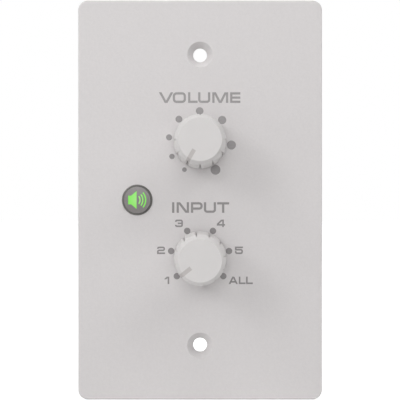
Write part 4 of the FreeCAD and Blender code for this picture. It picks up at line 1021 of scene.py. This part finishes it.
def signal_tracks():
    """Tracks between the dials, the button, its lamp, the chips, the crystal and the small parts."""
    volume, selector = spots("volume_pot_terminals"), spots("input_switch_terminals")
    button, lamp = spots("push_switch_terminals"), spots("button_led_leads")
    top = ends("microcontroller_leads", "top", LEAD_INSET)
    left = ends("microcontroller_leads", "left", LEAD_INSET)
    foot = ends("microcontroller_leads", "bottom", LEAD_INSET)
    driver = ends("line_driver_leads", "bottom", LEAD_INSET)
    resistors = spots("chip_resistors")
    resistor_foot = ends("chip_resistors", "bottom", PART_INSET)[-1]
    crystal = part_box("crystal")[1]
    crystal_pins = [Vector((crystal.x - reach, crystal.z - CRYSTAL_INSET)) for reach in CRYSTAL_REACHES]
    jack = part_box("network_jack_shield")[0].z + JACK_LAP

    paths = [slant(pin, lead) for pin, lead in zip(volume, top[5:])]
    paths += [slant(selector[pin], foot[lead]) for pin, lead in ((4, 7), (2, 6), (0, 5))]
    paths.append(detour(selector[1], foot[4], (foot[6].x + foot[7].x) / 2))
    paths += [slant(lead, pin) for lead, pin in zip((foot[1], foot[0]), crystal_pins)]
    paths.append(slant(button[1], left[5], "x"))
    paths.append(slant(left[7], lamp[1], "x"))
    paths.append(detour(lamp[0], resistors[1] + LAMP_RESISTOR_END, BOARD_LOW.x + LAMP_LANE))
    paths.append(slant(ends("chip_capacitors", "bottom", PART_INSET)[1], top[0]))
    paths.append(slant(selector[5], driver[0] + DRIVER_LAP, "x"))
    paths.append(around(driver[1], Vector((driver[1].x, resistor_foot.y)), resistor_foot, DRIVER_CUT))
    paths.append(slant(resistors[-2] + RESISTOR_HEAD, selector[3], "x"))
    paths += [[lead, Vector((lead.x, jack))] for lead in ends("line_driver_leads", "top", PART_INSET)]
    return paths


def supply_tracks():
    """Wide tracks from the regulator through the filter capacitors to the chip capacitors."""
    leads = ends("voltage_regulator_leads", "bottom", REGULATOR_INSET)
    tab = spots("voltage_regulator_leads")[1]
    far_can, near_can = spots("filter_capacitors")
    chip = ends("chip_capacitors", "top", PART_INSET)[-1]
    corner = Vector((chip.x, far_can.y))
    return [
        [leads[1], leads[1] + SUPPLY_HOLE],
        slant(tab, near_can + CAN_RIM),
        [near_can - CAN_PIN, far_can + CAN_PIN],
        around(far_can - CAN_PIN, corner, chip, SUPPLY_CUT),
    ]


def lay_tracks():
    """Raised copper tracks under the lacquer, and the small plated holes."""
    signals, supplies = signal_tracks(), supply_tracks()
    selector = spots("input_switch_terminals")[-1]
    holes = [selector + SELECTOR_HOLE, supplies[0][-1]]
    signals.append(slant(holes[0], selector))
    for node, pin, inset, way in HOLES:
        start = ends(node, "bottom", inset)[pin]
        holes.append(start + Vector(way) * MM)
        signals.append(slant(start, holes[-1]))
    mesh = bmesh.new()
    for width, paths in ((SIGNAL_WIDTH, signals), (SUPPLY_WIDTH, supplies)):
        for path in paths:
            add_strip(mesh, path, width, BOARD_REAR - SUNK, BOARD_REAR + TRACK_THICKNESS)
    finish_piece("board_tracks", mesh, "board_tracks")

    mesh = bmesh.new()
    edges = (BOARD_LOW.x + HOLE_EDGE, BOARD_HIGH.x - HOLE_EDGE)
    holes += [(x, row * HOLE_PITCH) for x in edges for row in HOLE_ROWS]
    holes += [Vector(place) * MM for place in LONE_HOLES]
    buried, rim, pit = BOARD_REAR - SUNK, BOARD_REAR + PAD_THICKNESS, BOARD_REAR + SUNK
    profile = [(buried, 0), (buried, HOLE_RADIUS), (rim, HOLE_RADIUS), (rim, HOLE_RIM * HOLE_RADIUS),
               (pit, HOLE_PIT * HOLE_RADIUS), (pit, 0)]
    for x, z in holes:
        add_turned(mesh, x, z, profile, HOLE_SIDES)
    finish_piece("board_vias", mesh, "solder")


# White print and marks

def outline_box(mesh, low, high, margin, dot):
    """A printed rectangle round a part, with a dot by its upper corner where it needs one."""
    low, high = low - Vector((margin, 0, margin)), high + Vector((margin, 0, margin))
    base, top = BOARD_REAR - SUNK, BOARD_REAR + PRINT_THICKNESS
    path = [(low.x, low.z), (high.x, low.z), (high.x, high.z), (low.x, high.z)]
    add_strip(mesh, path, PRINT_STROKE, base, top, closed=True)
    if dot:
        x, z = Vector((low.x, high.z)) + PRINT_DOT_PLACE
        add_dot(mesh, x, z, PRINT_DOT_RADIUS, base, top)


def print_board():
    """White outlines round the parts on the board."""
    mesh = bmesh.new()
    for node, margin, dot in FRAMED_PARTS:
        for low, high in solids(node):
            outline_box(mesh, low, high, margin, dot)
    finish_piece("board_print", mesh, "board_print")


def mark_parts():
    """A dark band on each filter capacitor and a pin mark on each chip."""
    mesh = bmesh.new()
    start = math.pi - CAN_MARK_ANGLE / 2
    angles = [start + CAN_MARK_ANGLE * step / CAN_MARK_STEPS for step in range(CAN_MARK_STEPS + 1)]
    for low, high in solids("filter_capacitors"):
        x, z = (low.x + high.x) / 2, (low.z + high.z) / 2
        outline = [(x + CAN_MARK_RADIUS * math.cos(angle), z + CAN_MARK_RADIUS * math.sin(angle))
                   for angle in angles]
        skin(mesh, [[mesh.verts.new((x, depth, z)) for x, z in outline]
                    for depth in (high.y - SUNK, high.y + PRINT_THICKNESS)])
    finish_piece("can_marks", mesh, "chip_epoxy")
    mesh = bmesh.new()
    for node in ("microcontroller", "line_driver", "voltage_regulator"):
        low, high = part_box(node)
        x, z = low.x + CHIP_MARK_INSET, high.z - CHIP_MARK_INSET
        add_dot(mesh, x, z, CHIP_MARK_RADIUS, high.y - SUNK, high.y + PRINT_THICKNESS)
    finish_piece("chip_marks", mesh, "board_print")


# Camera, lights and stage

def build_camera():
    """A level camera that sees the plate as wide and as far aside as in the photograph."""
    width = PLATE_HIGH.x - PLATE_LOW.x
    seen_width = width * PHOTO_WIDTH_PX / (PLATE_RIGHT_PX - PLATE_LEFT_PX)
    data = bpy.data.cameras.new("camera")
    data.sensor_width = SENSOR_WIDTH
    data.lens = SENSOR_WIDTH * CAMERA_DISTANCE / seen_width
    data.shift_x = (PHOTO_WIDTH_PX / 2 - (PLATE_LEFT_PX + PLATE_RIGHT_PX) / 2) / PHOTO_WIDTH_PX
    camera = bpy.data.objects.new("camera", data)
    camera.location = (0, PLATE_FRONT - CAMERA_DISTANCE, 0)
    camera.rotation_euler = (math.radians(90), 0, 0)
    bpy.context.scene.collection.objects.link(camera)
    bpy.context.scene.camera = camera


def add_softbox(name, turn, tilt, size, strength):
    """A square lamp that looks at the middle of the plate."""
    aside = math.sin(math.radians(tilt))
    ahead = math.cos(math.radians(tilt))
    place = Vector((aside * math.cos(math.radians(turn)), -ahead, aside * math.sin(math.radians(turn))))
    data = bpy.data.lights.new(name, "AREA")
    data.size = size
    data.energy = strength * LAMP_POWER * LAMP_DISTANCE ** 2 / ahead
    lamp = bpy.data.objects.new(name, data)
    lamp.location = place * LAMP_DISTANCE
    lamp.rotation_euler = (-place).to_track_quat("-Z", "Y").to_euler()
    bpy.context.scene.collection.objects.link(lamp)


def seen_directly(shader):
    """1 for rays from the camera, a mirror or glass, and 0 for the rest."""
    rays = shader.add("ShaderNodeLightPath").outputs
    mirrored = shader.math("MAXIMUM", rays["Is Camera Ray"], rays["Is Glossy Ray"])
    return shader.math("MAXIMUM", mirrored, rays["Is Transmission Ray"])


def build_world():
    """White where it is seen, and a soft light, stronger from the sides, for the rest."""
    world = bpy.data.worlds.new("studio")
    bpy.context.scene.world = world
    shader = Nodes(world)
    direction = shader.add("ShaderNodeTexCoord").outputs["Generated"]
    frontal = shader.math("ABSOLUTE", shader.part(direction, "Y"))
    soft = shader.spread(frontal, AMBIENT_SIDE, AMBIENT_FRONT, 0.0, 1.0)
    strength = shader.blend(seen_directly(shader), soft, 1.0, "FLOAT")
    background = shader.tree.nodes["Background"]
    background.inputs["Color"].default_value = (1, 1, 1, 1)
    shader.join(strength, background.inputs["Strength"])


def build_floor():
    """A pale floor just under the plate; it keeps the shadow and looks white elsewhere."""
    finish = Finish("floor", FLOOR_BOUNCE, 0.9, Emission_Color=(1, 1, 1, 1))
    seen = seen_directly(finish)
    finish.set("Base Color", finish.blend(seen, (*FLOOR_BOUNCE, 1), (*FLOOR_SEEN, 1)))
    finish.set("Emission Strength", finish.math("MULTIPLY", seen, FLOOR_GLOW))
    mesh = bpy.data.meshes.new("floor")
    level = CAD_BOX[0][2] - FLOOR_GAP
    corners = [(-FLOOR_REACH, -FLOOR_REACH), (FLOOR_REACH, -FLOOR_REACH),
               (FLOOR_REACH, FLOOR_REACH), (-FLOOR_REACH, FLOOR_REACH)]
    mesh.from_pydata([(x, y, level) for x, y in corners], [], [(0, 1, 2, 3)])
    mesh.materials.append(finish.material)
    floor = bpy.data.objects.new("floor", mesh)
    bpy.context.scene.collection.objects.link(floor)


def dress_nodes():
    """Give every CAD node the material of its slot."""
    for row in frame["record"]["subparts"]:
        item = NODES[row["node"]]
        item.data.materials.clear()
        item.data.materials.append(FINISHES[row["material_slot"]])


bpy.context.scene.view_settings.view_transform = "Standard"
build_camera()
FINISHES = make_finishes()
dress_nodes()
print_plate()
solder_pins()
bend_leads("microcontroller_bent_leads", "microcontroller_leads", "microcontroller")
bend_leads("line_driver_bent_leads", "line_driver_leads", "line_driver")
bend_leads("regulator_bent_leads", "voltage_regulator_leads", "voltage_regulator")
wind_spring()
end_chips("resistor", "chip_resistors")
end_chips("capacitor_chip", "chip_capacitors")
lay_tracks()
print_board()
mark_parts()
build_world()
build_floor()
for lamp_name, lamp_values in LAMPS.items():
    add_softbox(lamp_name, *lamp_values)
